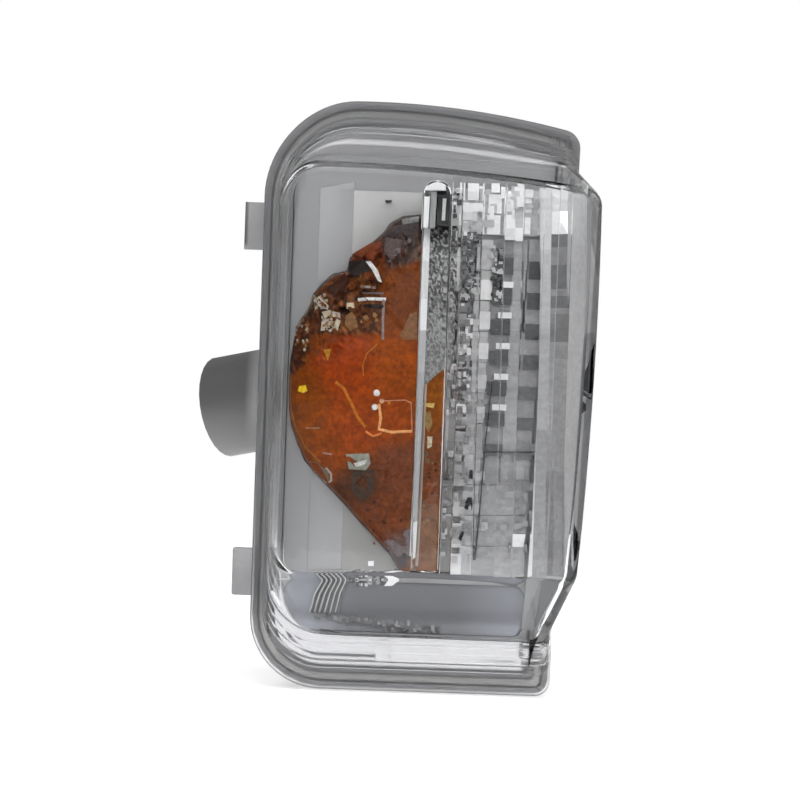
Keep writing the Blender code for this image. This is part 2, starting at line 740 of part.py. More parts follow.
def step_profile():
    """(depth, height) points of the steps, from their lower back corner."""
    bottom = STEPS_TOP - STEP_PITCH * STEP_COUNT
    back = INSERT_FRONT - INSERT_PLATE / 2
    points = [(back, bottom), (INSERT_FRONT, bottom)]
    for number in range(STEP_COUNT):
        low = bottom + number * STEP_PITCH
        points.append((INSERT_FRONT + STEP_DEPTH, low + STEP_PITCH * STEP_LIP))
        points.append((INSERT_FRONT, low + STEP_PITCH))
    return points + [(back, STEPS_TOP)]


def insert_pads():
    """Raised parts of the insert: name, corners and rise."""
    pilaster_left = -DECK_LEFT - PILASTER_WIDTH
    overlap = MERGE * 20
    deck = [(-DECK_LEFT, -DECK_BOTTOM), (AMBER_RIGHT, -DECK_BOTTOM),
            (AMBER_RIGHT, DECK_TOP), (-DECK_LEFT, DECK_TOP)]
    pilaster = [(pilaster_left, -DECK_BOTTOM), (-DECK_LEFT + overlap, -DECK_BOTTOM),
                (-DECK_LEFT + overlap, PILASTER_TOP),
                (pilaster_left, PILASTER_TOP - PILASTER_SLANT)]
    return (("deck", deck, DECK_RISE), ("pilaster", pilaster, PILASTER_RISE))


def make_insert():
    """Bright plate with steps, a deck, a hole for the amber filter and two legs."""
    back, floor_right = INSERT_FRONT - INSERT_PLATE, rim_outline().right_low - FLOOR_INSET
    mouth = shrunk(rim_outline(), CAVITY_INSET + SEAT)
    insert = add_object("reflector_insert", loft([ring(mouth, back), ring(mouth, INSERT_FRONT)]),
                        BRIGHT_COATING)
    steps = add_object("steps", loft([[(x, -depth, z) for depth, z in step_profile()]
                                      for x in (STEPS_LEFT, RIM_WIDTH / 2)]), cutter=True)
    boolean(insert, steps, "UNION")
    for name, corners, rise in insert_pads():
        pad = add_object(name, prism(corners, INSERT_FRONT - INSERT_PLATE / 2,
                                     INSERT_FRONT + rise), cutter=True)
        boolean(insert, pad, "UNION")
    hole = add_object("insert_hole", prism(amber_line(1.0, -INSERT_TO_AMBER), back - INSERT_PLATE,
                                           INSERT_FRONT + INSERT_PLATE), cutter=True)
    boolean(insert, hole, "DIFFERENCE")
    for number, start in enumerate((STEPS_LEFT, floor_right - INSERT_LEG_INSET - INSERT_LEG)):
        leg = add_object(f"insert_leg_{number + 1}", block(
            (start, -INSERT_FRONT + INSERT_PLATE / 2, -LEG_BOTTOM),
            (start + INSERT_LEG, -BOWL_WALL - SEAT, LEG_TOP)), cutter=True)
        boolean(insert, leg, "UNION")
    fit = add_object("insert_fit", cavity(SEAT, WINDOW_DEPTH), cutter=True)
    boolean(insert, fit, "INTERSECT")
    smooth(insert)
    return insert


def make_holder(axis):
    """Quarter-turn holder: flange, neck, lugs, plug inlet and bulb slot."""
    flange = BORE_RADIUS - SEAT
    neck = COLLAR_RADIUS - SEAT
    shoulder = HOLDER_RECESS + HOLDER_FLANGE
    holder = turned("bulb_holder", [
        (0.0, HOLDER_END), (neck, HOLDER_END), (neck, shoulder), (flange, shoulder),
        (flange, HOLDER_RECESS), (0.0, HOLDER_RECESS)], HOLDER_PLASTIC, parent=axis)
    lug_start = COLLAR_END + SEAT
    for number in range(LUG_COUNT):
        lug = add_object(f"lug_{number + 1}", block(
            (neck * 0.9, -LUG_WIDTH / 2, lug_start),
            (flange - SEAT, LUG_WIDTH / 2, lug_start + LUG_THICKNESS)), cutter=True, parent=axis)
        lug.rotation_euler.z = lug_angle(number)
        boolean(holder, lug, "UNION")
    inlet_end = HOLDER_RECESS + INLET_DEPTH
    wide = CONTACT_SPREAD + BLADE_WIDTH / 2 + INLET_MARGIN
    tall = BLADE_OFFSET + BLADE_THICKNESS / 2 + INLET_MARGIN
    inlet = add_object("inlet", block((-wide, -tall, 0.0), (wide, tall, inlet_end)),
                       cutter=True, parent=axis)
    boolean(holder, inlet, "DIFFERENCE")
    slot_reach = BLADE_OFFSET + BLADE_THICKNESS / 2 + SEAT
    slot = add_object("bulb_slot", block(
        (-SLOT_WIDTH / 2, -slot_reach, inlet_end + WEB_THICKNESS),
        (SLOT_WIDTH / 2, slot_reach, HOLDER_END + WEB_THICKNESS)), cutter=True, parent=axis)
    boolean(holder, slot, "DIFFERENCE")
    for name, side in (("blade_slot_upper", 1), ("blade_slot_lower", -1)):
        across = side * BLADE_OFFSET
        half_width = BLADE_WIDTH / 2 + SEAT
        half_thickness = BLADE_THICKNESS / 2 + SEAT
        gap = add_object(name, block(
            (side * CONTACT_SPREAD - half_width, across - half_thickness, inlet_end - SEAT),
            (side * CONTACT_SPREAD + half_width, across + half_thickness,
             inlet_end + WEB_THICKNESS + SEAT)), cutter=True, parent=axis)
        boolean(holder, gap, "DIFFERENCE")
    return holder


def make_holder_seal(axis):
    """Rubber ring between the holder's flange and the collar."""
    top = COLLAR_START - SEAT
    outer, inner = BORE_RADIUS - SEAT, COLLAR_RADIUS
    return turned("holder_seal", [(outer, top), (outer, top - SEAL_HEIGHT),
                                  (inner, top - SEAL_HEIGHT), (inner, top)],
                  SOFT_RUBBER, ring=True, parent=axis)


def make_contact(name, side, axis):
    """Brass strip bent from the inlet's blade to the bulb's lead."""
    inlet_end = HOLDER_RECESS + INLET_DEPTH
    bend = inlet_end + WEB_THICKNESS + BLADE_THICKNESS
    spring = BULB_FOOT_THICKNESS / 2 + LEAD_DIAMETER + 2 * SEAT + BLADE_THICKNESS / 2
    path = [(BLADE_OFFSET, HOLDER_RECESS + BLADE_THICKNESS), (BLADE_OFFSET, bend),
            (spring, bend + BLADE_OFFSET - spring), (spring, HOLDER_END - BLADE_WIDTH / 2)]
    mesh = bpy.data.meshes.new(name)
    points = [(side * CONTACT_SPREAD + half, side * across, along)
              for across, along in path for half in (-BLADE_WIDTH / 2, BLADE_WIDTH / 2)]
    faces = [(2 * i, 2 * i + 1, 2 * i + 3, 2 * i + 2) for i in range(len(path) - 1)]
    mesh.from_pydata(points, [], faces)
    contact = add_object(name, mesh, BRASS, parent=axis)
    sheet = contact.modifiers.new("sheet", "SOLIDIFY")
    sheet.thickness = BLADE_THICKNESS
    sheet.offset = 0.0
    return contact


def foot_start():
    """Where the bulb's flat foot begins, above the web of the holder."""
    fold = LEAD_DIAMETER + 2 * SEAT
    return HOLDER_RECESS + INLET_DEPTH + WEB_THICKNESS + fold


def make_bulb(axis):
    """Glass envelope with a flat foot and two bores for its leads."""
    foot = foot_start()
    neck = foot + BULB_FOOT_LENGTH
    radius = BULB_DIAMETER / 2
    tip = foot + BULB_LENGTH

    def envelope(wall):
        """Profile of the envelope, drawn in by the glass."""
        round_radius = radius - wall
        points = [(0.0, tip - wall)]
        for angle in (25, 50, 72, 90):
            turn = math.radians(angle)
            points.append((round_radius * math.sin(turn),
                           tip - radius + round_radius * math.cos(turn)))
        points.append((round_radius, neck + radius * 0.9))
        points.append((round_radius * 0.86, neck + radius * 0.35))
        points.append((BULB_FOOT_WIDTH * 0.42 - wall, neck + wall))
        points.append((0.0, neck + wall))
        return points

    bulb = turned("bulb_glass", envelope(0.0), BULB_GLASS_FINISH, sides=24, parent=axis)
    pinch = add_object("bulb_foot", block(
        (-BULB_FOOT_WIDTH / 2, -BULB_FOOT_THICKNESS / 2, foot),
        (BULB_FOOT_WIDTH / 2, BULB_FOOT_THICKNESS / 2, neck + BULB_GLASS / 2)),
        cutter=True, parent=axis)
    hollow = turned("bulb_inside", envelope(BULB_GLASS), cutter=True, sides=24, parent=axis)
    boolean(bulb, pinch, "UNION")
    boolean(bulb, hollow, "DIFFERENCE")
    for number, side in enumerate((1, -1)):
        bore = add_object(f"lead_bore_{number + 1}",
                          rod(LEAD_BORE / 2, foot - SEAT, neck + 3 * BULB_GLASS, 10),
                          cutter=True, parent=axis)
        bore.location.x = side * CONTACT_SPREAD
        boolean(bulb, bore, "DIFFERENCE")
    return bulb


def wire(name, points, radius, finish, axis, resolution=1):
    """Round wire along a list of points, with closed ends."""
    curve = bpy.data.curves.new(name, "CURVE")
    curve.dimensions = "3D"
    curve.bevel_depth = radius
    curve.bevel_resolution = resolution
    curve.use_fill_caps = True
    spline = curve.splines.new("POLY")
    spline.points.add(len(points) - 1)
    for target, point in zip(spline.points, points):
        target.co = (*point, 1.0)
    made = bpy.data.objects.new(name, curve)
    PARTS.objects.link(made)
    curve.materials.append(finish)
    made.parent = axis
    return made


def make_lead(name, side, axis):
    """Lead from the filament through the foot, folded back along the foot's face."""
    foot = foot_start()
    radius = LEAD_DIAMETER / 2
    outside = BULB_FOOT_THICKNESS / 2 + SEAT + radius
    place = side * CONTACT_SPREAD
    fold = foot - SEAT - radius
    points = [(place, 0.0, foot + BULB_FOOT_LENGTH + FILAMENT_HEIGHT), (place, 0.0, fold),
              (place, side * outside, fold),
              (place, side * outside, foot + BULB_FOOT_LENGTH * 0.6)]
    return wire(name, points, radius, TUNGSTEN, axis)


def make_filament(axis):
    """Coil between the tips of the two leads."""
    height = foot_start() + BULB_FOOT_LENGTH + FILAMENT_HEIGHT - LEAD_DIAMETER
    half = CONTACT_SPREAD - LEAD_DIAMETER / 2 - SEAT
    points = []
    count = FILAMENT_TURNS * 8
    for k in range(count + 1):
        angle = 2 * math.pi * k / 8
        points.append((-half + 2 * half * k / count, FILAMENT_RADIUS * math.cos(angle),
                       height + FILAMENT_RADIUS * math.sin(angle)))
    return wire("filament", points, LEAD_DIAMETER * 0.28, TUNGSTEN, axis, 0)


def make_vent_cap():
    """Rubber cap over the breather stub."""
    inner = VENT_DIAMETER / 2 + SEAT
    outer = inner + CAP_WALL
    ceiling = vent_end() - SEAT
    bottom = ceiling - CAP_WALL
    cap = turned("vent_cap", [
        (0.0, ceiling), (inner, ceiling), (inner, bottom + CAP_LENGTH),
        (outer, bottom + CAP_LENGTH), (outer, bottom), (0.0, bottom)], SOFT_RUBBER, sides=20)
    cap.location = (VENT_PLACE, -VENT_SETBACK, 0.0)
    return cap


def make_lamp():
    """All the pieces, with those that turn parented to the tube's axis."""
    make_lens()
    make_housing()
    make_seal()
    make_amber()
    make_insert()
    make_vent_cap()
    axis = bpy.data.objects.new("holder_axis", None)
    PARTS.objects.link(axis)
    axis.matrix_world = TUBE_FRAME
    make_holder(axis)
    make_holder_seal(axis)
    make_contact("contact_upper", 1, axis)
    make_contact("contact_lower", -1, axis)
    make_bulb(axis)
    make_lead("bulb_lead_upper", 1, axis)
    make_lead("bulb_lead_lower", -1, axis)
    make_filament(axis)


make_lamp()
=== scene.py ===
# %% [markdown]
# # A vehicle indicator lamp
# The lamp has a clear fluted lens, a grey housing with a socket tube, an amber filter that
# colours the bulb's light and a bright stepped reflector. The CAD model fixes every size. This
# lesson adds what the eye needs: smooth clear plastic, facets in the amber and real finishes.
# All lengths are in metres, with +Z up and the lens facing -Y.

# %% Load the frame
import json
import math
import random
from collections import namedtuple

import bmesh
import bpy
from mathutils import Matrix, Vector, bvhtree, noise

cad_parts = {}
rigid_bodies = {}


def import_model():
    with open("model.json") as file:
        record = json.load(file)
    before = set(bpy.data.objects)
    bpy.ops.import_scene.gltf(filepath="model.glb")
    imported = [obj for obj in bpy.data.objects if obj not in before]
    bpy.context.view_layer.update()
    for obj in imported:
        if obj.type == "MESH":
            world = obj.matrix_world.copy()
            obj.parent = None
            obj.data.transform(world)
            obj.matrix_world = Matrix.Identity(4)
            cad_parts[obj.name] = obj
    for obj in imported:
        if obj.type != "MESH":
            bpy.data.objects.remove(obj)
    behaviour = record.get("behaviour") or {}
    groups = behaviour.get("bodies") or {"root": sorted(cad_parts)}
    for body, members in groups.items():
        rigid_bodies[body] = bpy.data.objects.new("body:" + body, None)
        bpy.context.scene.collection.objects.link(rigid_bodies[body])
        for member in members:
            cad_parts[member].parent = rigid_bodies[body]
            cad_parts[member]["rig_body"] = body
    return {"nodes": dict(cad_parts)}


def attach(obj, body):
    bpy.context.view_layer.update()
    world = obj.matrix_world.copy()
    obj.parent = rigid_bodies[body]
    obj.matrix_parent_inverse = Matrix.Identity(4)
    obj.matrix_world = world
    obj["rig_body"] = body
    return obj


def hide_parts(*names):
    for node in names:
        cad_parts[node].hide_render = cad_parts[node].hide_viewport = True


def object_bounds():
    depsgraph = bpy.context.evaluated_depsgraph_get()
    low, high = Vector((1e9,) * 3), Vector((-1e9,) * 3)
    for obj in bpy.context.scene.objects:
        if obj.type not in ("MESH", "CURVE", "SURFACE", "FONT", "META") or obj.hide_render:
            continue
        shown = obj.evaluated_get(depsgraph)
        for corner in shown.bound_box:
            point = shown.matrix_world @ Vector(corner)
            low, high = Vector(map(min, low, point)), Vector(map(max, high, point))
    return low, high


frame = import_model()
CAD_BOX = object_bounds()
print("nodes:", ", ".join(sorted(frame["nodes"])))

# %% [markdown]
# ## Camera
# A long lens far away keeps the sides of the lamp parallel, as in a catalogue picture. The
# lamp looks turned by two degrees, so the camera is rolled the other way and the lamp stays
# upright in its own frame.

# %% Camera
PICTURE = 0.160
DISTANCE = 0.62
RIM_DEPTH = 0.033
VIEW_CENTRE = (-0.00293, -0.00061)
ROLL = math.radians(-2.0)
SENSOR = 36.0


def put(name, data, material=None):
    """New object at the origin, linked to the scene, with its finish."""
    made = bpy.data.objects.new(name, data)
    bpy.context.scene.collection.objects.link(made)
    if material:
        data.materials.append(material)
    return made


camera_data = bpy.data.cameras.new("catalogue_lens")
camera_data.sensor_width = SENSOR
camera_data.lens = SENSOR * DISTANCE / PICTURE
camera = put("catalogue_camera", camera_data)
camera.location = (VIEW_CENTRE[0], -DISTANCE - RIM_DEPTH, VIEW_CENTRE[1])
camera.rotation_euler = (math.radians(90), ROLL, 0)
bpy.context.scene.camera = camera
print("lens", round(camera_data.lens), "mm")

# %% [markdown]
# ## Helpers for nodes
# A material is a small tree of nodes. It could be clicked together by hand, but most finishes
# of the lamp share the same few moves: a mask, a mix of two colours, a sum. Short functions for
# these moves keep each finish down to the numbers that make it different.

# %% Node helpers
def node(tree, kind, **inputs):
    """Add a node and set its plain inputs; spaces in socket names are written as _."""
    made = tree.nodes.new(kind)
    for name, value in inputs.items():
        made.inputs[name.replace("_", " ")].default_value = value
    return made


def feed(tree, socket, value):
    """Give a socket a number, a colour or another node's output."""
    if isinstance(value, bpy.types.NodeSocket):
        tree.links.new(value, socket)
    else:
        socket.default_value = (*value, 1.0) if isinstance(value, tuple) else value


def connect(tree, made, pairs):
    """Link named nodes; each end is written as node.socket, by the socket's name or number."""
    for pair in pairs:
        ends = []
        for text, side in zip(pair, ("outputs", "inputs")):
            key, socket = text.split(".")
            ends.append(getattr(made[key], side)[int(socket) if socket.isdigit() else socket])
        tree.links.new(*ends)


def finish(name, colour, roughness, metallic=0.0, transmission=0.0, ior=1.5):
    """A Principled material; its tree and its shader."""
    made = bpy.data.materials.new(name)
    made.use_nodes = True
    shader = made.node_tree.nodes["Principled BSDF"]
    for label, value in {"Base Color": colour, "Roughness": roughness, "Metallic": metallic,
                         "Transmission Weight": transmission, "IOR": ior}.items():
        feed(made.node_tree, shader.inputs[label], value)
    return made, made.node_tree, shader


print("helpers:", ", ".join(helper.__name__ for helper in (node, feed, connect, finish)))

# %% [markdown]
# ## Studio
# Clear plastic shows what surrounds it. A pale sweep under the lamp gives it a white ground,
# and large soft boxes draw long quiet highlights on its edges. The boxes at the sides and
# behind are weak, because their light comes through the clear shoulders as hard white lines.

# %% Studio: floor and lights
FLOOR_RADIUS = 0.62
FLOOR_GAP = 0.0004
FLOOR_SIDES = 96
FLOOR_GLOW = 0.45
# place, size and power of each square light
BOXES = {"box_above": ((0.0, -0.85, 0.9), 1.9, 33.0), "box_left": ((-0.9, 0.75, 0.3), 1.6, 1.2),
         "box_right": ((1.1, -0.1, 0.3), 1.6, 2.0), "box_behind": ((0.1, 1.2, 0.8), 1.8, 1.5)}


def soft_box(name, place, size, power):
    """Square area light that faces the lamp."""
    data = bpy.data.lights.new(name, "AREA")
    data.shape = "SQUARE"
    data.size = size
    data.energy = power
    made = put(name, data)
    made.location = place
    made.rotation_euler = (-Vector(place)).to_track_quat("-Z", "Y").to_euler()


bpy.context.scene.view_settings.view_transform = "Standard"
level = CAD_BOX[0][2] - FLOOR_GAP
turns = [math.tau * k / FLOOR_SIDES for k in range(FLOOR_SIDES)]
floor_mesh = bpy.data.meshes.new("studio_floor")
floor_mesh.from_pydata([(FLOOR_RADIUS * math.cos(t), FLOOR_RADIUS * math.sin(t), level)
                        for t in turns], [], [range(FLOOR_SIDES)])
paper, tree, shader = finish("studio_paper", (0.9, 0.9, 0.9), 0.9)
shader.inputs["Emission Color"].default_value = (1, 1, 1, 1)
shader.inputs["Emission Strength"].default_value = FLOOR_GLOW
put("studio_floor", floor_mesh, paper)
for name, given in BOXES.items():
    soft_box(name, *given)

# %% [markdown]
# ## Air of the studio
# The camera sees a white world, and everything else sees a dim one that is a little brighter
# in front. A Light Path node tells the two apart, so the ground stays white while the clear
# edges keep some darkness to show their shape.

# %% Studio: air
world = bpy.data.worlds.new("studio_air")
world.use_nodes = True
air = world.node_tree
given = {"dim": air.nodes["Background"], "out": air.nodes["World Output"],
         "clean": node(air, "ShaderNodeBackground", Color=(1, 1, 1, 1)),
         "away": node(air, "ShaderNodeMapRange", From_Min=-1.0, From_Max=-0.2, To_Min=0.06,
                      To_Max=0.14),
         "compass": node(air, "ShaderNodeTexCoord"), "apart": node(air, "ShaderNodeSeparateXYZ"),
         "path": node(air, "ShaderNodeLightPath"), "choose": node(air, "ShaderNodeMixShader")}
given["dim"].inputs["Color"].default_value = (0.95, 0.97, 1.0, 1)
connect(air, given, (
    ("compass.Generated", "apart.0"), ("apart.Y", "away.Value"), ("away.Result", "dim.Strength"),
    ("path.Is Camera Ray", "choose.Fac"), ("dim.0", "choose.1"), ("clean.0", "choose.2"),
    ("choose.0", "out.Surface")))
bpy.context.scene.world = world
print("world:", len(air.nodes), "nodes")

# %% [markdown]
# ## Shared grain
# No moulded surface is quite even. Fine grain breaks up its gloss, and broad clouds vary its
# tone. The whole lamp was moulded in like tools, so the grain is one shader group with a size
# of its own in each finish, and it reads Object coordinates, which suit every piece.

# %% Shared grain
grain = bpy.data.node_groups.new("moulded_grain", "ShaderNodeTree")
grain.interface.new_socket("Vector", in_out="INPUT", socket_type="NodeSocketVector")
grain.interface.new_socket("Size", in_out="INPUT", socket_type="NodeSocketFloat")
for label in ("Tone", "Height"):
    grain.interface.new_socket(label, in_out="OUTPUT", socket_type="NodeSocketFloat")
given = {"in": node(grain, "NodeGroupInput"), "out": node(grain, "NodeGroupOutput"),
         "fine": node(grain, "ShaderNodeTexNoise", Detail=4.0, Roughness=0.6),
         "broad": node(grain, "ShaderNodeTexNoise", Scale=60.0, Detail=3.0)}
connect(grain, given, (("in.Vector", "fine.Vector"), ("in.Size", "fine.Scale"),
                       ("in.Vector", "broad.Vector"), ("fine.Fac", "out.Height"),
                       ("broad.Fac", "out.Tone")))


def use_grain(tree, size):
    """Place the shared grain on the piece's own coordinates."""
    made = tree.nodes.new("ShaderNodeGroup")
    made.node_tree = grain
    tree.links.new(node(tree, "ShaderNodeTexCoord").outputs["Object"], made.inputs["Vector"])
    made.inputs["Size"].default_value = size
    return made.outputs


def add_bump(tree, shader, height, strength, distance):
    """Bump from a height, into the shader's normal."""
    bump = node(tree, "ShaderNodeBump", Strength=strength, Distance=distance)
    tree.links.new(height, bump.inputs["Height"])
    tree.links.new(bump.outputs["Normal"], shader.inputs["Normal"])


print("grain:", len(grain.nodes), "nodes")

# %% [markdown]
# ## Masks and mixes
# Parts of one moulding differ: the tube lies in shadow, the tab is brighter. They could be
# separate materials, but their border would be a hard line along faces. A mask that grows
# between two places on an axis gives a soft border and needs no extra edges.

# %% Masks and mixes
def calculated(tree, operation, *inputs):
    """Output of a Math node fed by numbers or other outputs."""
    made = tree.nodes.new("ShaderNodeMath")
    made.operation = operation
    for socket, value in zip(made.inputs, inputs):
        feed(tree, socket, value)
    return made.outputs[0]


def scaled(tree, value, **limits):
    """Output of a Map Range node fed by another output."""
    made = node(tree, "ShaderNodeMapRange", **limits)
    tree.links.new(value, made.inputs["Value"])
    return made.outputs["Result"]


def axes(tree):
    """X, Y and Z of the piece's own coordinates."""
    apart = tree.nodes.new("ShaderNodeSeparateXYZ")
    tree.links.new(node(tree, "ShaderNodeTexCoord").outputs["Object"], apart.inputs[0])
    return apart.outputs


def zone(tree, *limits):
    """Mask that grows from 0 to 1 between two values on each axis."""
    places, mask = axes(tree), None
    for axis, low, high in limits:
        edge = scaled(tree, places[axis], From_Min=low, From_Max=high)
        mask = calculated(tree, "MULTIPLY", mask, edge) if mask else edge
    return mask


def mixed(tree, mask, under, over):
    """Colour between two, each a colour or another output, by a mask."""
    mix = tree.nodes.new("ShaderNodeMix")
    mix.data_type = "RGBA"
    for socket, value in zip((mix.inputs[0], mix.inputs[6], mix.inputs[7]), (mask, under, over)):
        feed(tree, socket, value)
    return mix.outputs[2]


def grained(name, colour, roughness, size, tones=(), patches=(), bump=(), **looks):
    """Finish with the shared grain: mottled between two tones, with patches laid over it."""
    made, tree, shader = finish(name, colour, roughness, **looks)
    texture = use_grain(tree, size)
    if tones:
        mottled = mixed(tree, texture["Tone"], *tones)
        for over, *limits in patches:
            mottled = mixed(tree, zone(tree, *limits), mottled, over)
        tree.links.new(mottled, shader.inputs["Base Color"])
    if bump:
        add_bump(tree, shader, texture["Height"], *bump)
    return made


print("moves: calculated, scaled, axes, zone, mixed, grained")

# %% [markdown]
# ## Grey moulding
# The housing is a satin grey moulding. Three of its places look different: the tube, which turns
# away from the light, gets painted shade; the upper tab gets an even face and an outer edge
# darkened by painted shade; and the rim under the clear lens gets painted light, as if lit through
# it. Each is a patch over the mottled grey.

# %% Grey moulding
GREYS = ((0.16, 0.16, 0.16), (0.23, 0.23, 0.23))
# painted shade on the tube, where it turns away from the light
TUBE_PAINTED_SHADE = ((0.070, 0.070, 0.070), ("X", -0.0325, -0.0345), ("Z", 0.0200, 0.0150),
              ("Z", -0.0125, -0.0035))
TAB_FACE = ((0.20, 0.20, 0.20), ("X", -0.0318, -0.0324), ("Z", 0.0290, 0.0300))
# painted shade on the tab's outer edge
TAB_EDGE_PAINTED_SHADE = ((0.060, 0.060, 0.060), ("X", -0.0345, -0.0350), ("Z", 0.0290, 0.0300))
# painted light on the rim, as if lit through the clear lens
RIM_PAINTED_LIGHT = ((0.24, 0.24, 0.245), ("Y", -0.0290, -0.0296), ("X", -0.0320, -0.0314))
grey = grained("grey_moulding", (0.20, 0.20, 0.20), 0.42, 1400.0, GREYS,
               (TUBE_PAINTED_SHADE, TAB_FACE, TAB_EDGE_PAINTED_SHADE, RIM_PAINTED_LIGHT), (0.15, 0.0002))
print("grey moulding:", len(grey.node_tree.nodes), "nodes")

# %% [markdown]
# ## Clear lens
# Clear plastic could be one even glass, but the real lens is polished only over its window. Its
# shoulders are a little grey and rough, and its right wall, which is seen edge on, gets painted
# shade in its colour, so that it is dark. A low index of refraction keeps the thin wall from
# turning the shoulders into mirrors.

# %% Clear lens
WALL_LEAN, WALL_EDGE, EDGE_FADE = -0.035, 0.0332, 0.0003
POLISHED_WINDOW = (("X", -0.0285, -0.0262), ("Z", -0.0490, -0.0478), ("Z", 0.0475, 0.0460))
SHOULDER_ROUGHNESS, WINDOW_ROUGHNESS = 0.33, 0.02
SHOULDER_TINT, WINDOW_TINT, EDGE_PAINTED_SHADE = (0.77, 0.77, 0.78), (0.97, 0.975, 0.98), (0.24, 0.24, 0.25)
FOOT_TINT = ((0.94, 0.94, 0.95), ("Z", -0.0440, -0.0480))
LENS_IOR = 1.30

clear, tree, shader = finish("clear_lens", (0.96, 0.965, 0.97), WINDOW_ROUGHNESS,
                             transmission=1.0, ior=LENS_IOR)
add_bump(tree, shader, use_grain(tree, 300.0)["Height"], 0.04, 0.0002)
polished = zone(tree, *POLISHED_WINDOW)
tree.links.new(scaled(tree, polished, To_Min=SHOULDER_ROUGHNESS, To_Max=WINDOW_ROUGHNESS),
               shader.inputs["Roughness"])
tint = mixed(tree, polished, SHOULDER_TINT, WINDOW_TINT)
tint = mixed(tree, zone(tree, *FOOT_TINT[1:]), tint, FOOT_TINT[0])
# painted shade: the right wall, seen edge on, is darkened in its colour
places = axes(tree)
leaning = calculated(tree, "MULTIPLY_ADD", places["Z"], WALL_LEAN, places["X"])
painted_edge_shade = scaled(tree, leaning, From_Min=WALL_EDGE, From_Max=WALL_EDGE + EDGE_FADE)
tree.links.new(mixed(tree, painted_edge_shade, tint, EDGE_PAINTED_SHADE), shader.inputs["Base Color"])
print("clear lens:", len(tree.nodes), "nodes")

# %% [markdown]
# ## Other finishes, and the kept solids
# The seals, the holder, its contacts and the bulb already have their true shapes. A moulded or
# stamped edge is never sharp, though, and a faceted solid has sharp edges only. So each solid is
# copied, its points are merged, its edges get a small round, and it takes its own finish.

# %% Other finishes
glue = finish("adhesive", (0.55, 0.55, 0.53), 0.6)[0]
rubber = finish("soft_rubber", (0.03, 0.03, 0.03), 0.8)[0]
black = finish("holder_plastic", (0.05, 0.05, 0.055), 0.5)[0]
brass = finish("contact_brass", (0.70, 0.52, 0.22), 0.3, metallic=1.0)[0]
glass = finish("bulb_glass", (0.95, 0.96, 0.96), 0.02, transmission=1.0)[0]
wire = finish("lead_wire", (0.35, 0.34, 0.33), 0.35, metallic=1.0)[0]
# finish and edge radius of each solid that keeps its shape
FINISHES = {
    "rear_housing": (grey, 0.00025), "lens_seal": (glue, 0.0), "vent_cap": (rubber, 0.0002),
    "holder_seal": (rubber, 0.0), "bulb_holder": (black, 0.0002), "contact_upper": (brass, 0.0),
    "contact_lower": (brass, 0.0), "bulb_glass": (glass, 0.0), "bulb_lead_upper": (wire, 0.0),
    "bulb_lead_lower": (wire, 0.0), "filament": (wire, 0.0)}
MERGE = 1e-6
FLAT_ANGLE, EDGE_ANGLE, SMOOTH_ANGLE = math.radians(0.5), math.radians(38), math.radians(35)


def mesh_from(name, sheet):
    """Plain mesh from an editable one, which is freed."""
    mesh = bpy.data.meshes.new(name)
    sheet.to_mesh(mesh)
    sheet.free()
    return mesh


def shaded(mesh, angle=SMOOTH_ANGLE):
    """Smooth shading, broken at edges sharper than an angle."""
    mesh.shade_smooth()
    mesh.set_sharp_from_angle(angle=angle)


def smooth_copy(name, material, rounding):
    """Copy of a solid with merged points, flat faces made whole and its edges rounded."""
    copy = bmesh.new()
    copy.from_mesh(frame["nodes"][name].data)
    bmesh.ops.remove_doubles(copy, verts=copy.verts, dist=MERGE)
    bmesh.ops.dissolve_limit(copy, angle_limit=FLAT_ANGLE, verts=copy.verts, edges=copy.edges)
    if rounding:
        edges = [edge for edge in copy.edges if len(edge.link_faces) == 2
                 and edge.calc_face_angle(0.0) > EDGE_ANGLE]
        bmesh.ops.bevel(copy, geom=edges, offset=rounding, segments=2, profile=0.5,
                        affect="EDGES", clamp_overlap=True)
    made = put(name + "_finished", mesh_from(name + "_finished", copy), material)
    shaded(made.data)
    return made


kept = {name: smooth_copy(name, *given) for name, given in FINISHES.items()}
print({name: len(piece.data.polygons) for name, piece in kept.items()})

# %% [markdown]
# ## Places in the picture
# Many details are known by where they appear in the picture, 800 pixels wide and high. The
# camera's place, its roll and the depth of a surface turn such a place into metres. Doing this
# once, in one function, keeps every later cell free of the camera.

# %% Places in the picture
PIXELS = 800
PIXEL = PICTURE / PIXELS


def seen(across, down, depth=0.0300):
    """(x, z) of a point at a depth in front of the back wall, from its place in the picture."""
    reach = PIXEL * (DISTANCE + RIM_DEPTH - depth) / DISTANCE
    right, up = (across - PIXELS / 2) * reach, (PIXELS / 2 - down) * reach
    return (VIEW_CENTRE[0] + right * math.cos(ROLL) + up * math.sin(ROLL),
            VIEW_CENTRE[1] + up * math.cos(ROLL) - right * math.sin(ROLL))


print("picture's middle:", [round(v * 1000, 2) for v in seen(400, 400)], "mm")

# %% [markdown]
# ## Plates, and how they are cut and joined
# The bezel, the light bar and the loose cells are plates: an outline with a thickness and a
# small round on its front edges. Booleans join and cut them. The Manifold solver is used here,
# because it is quick and keeps a thin hollow shell whole, as long as every mesh is closed.

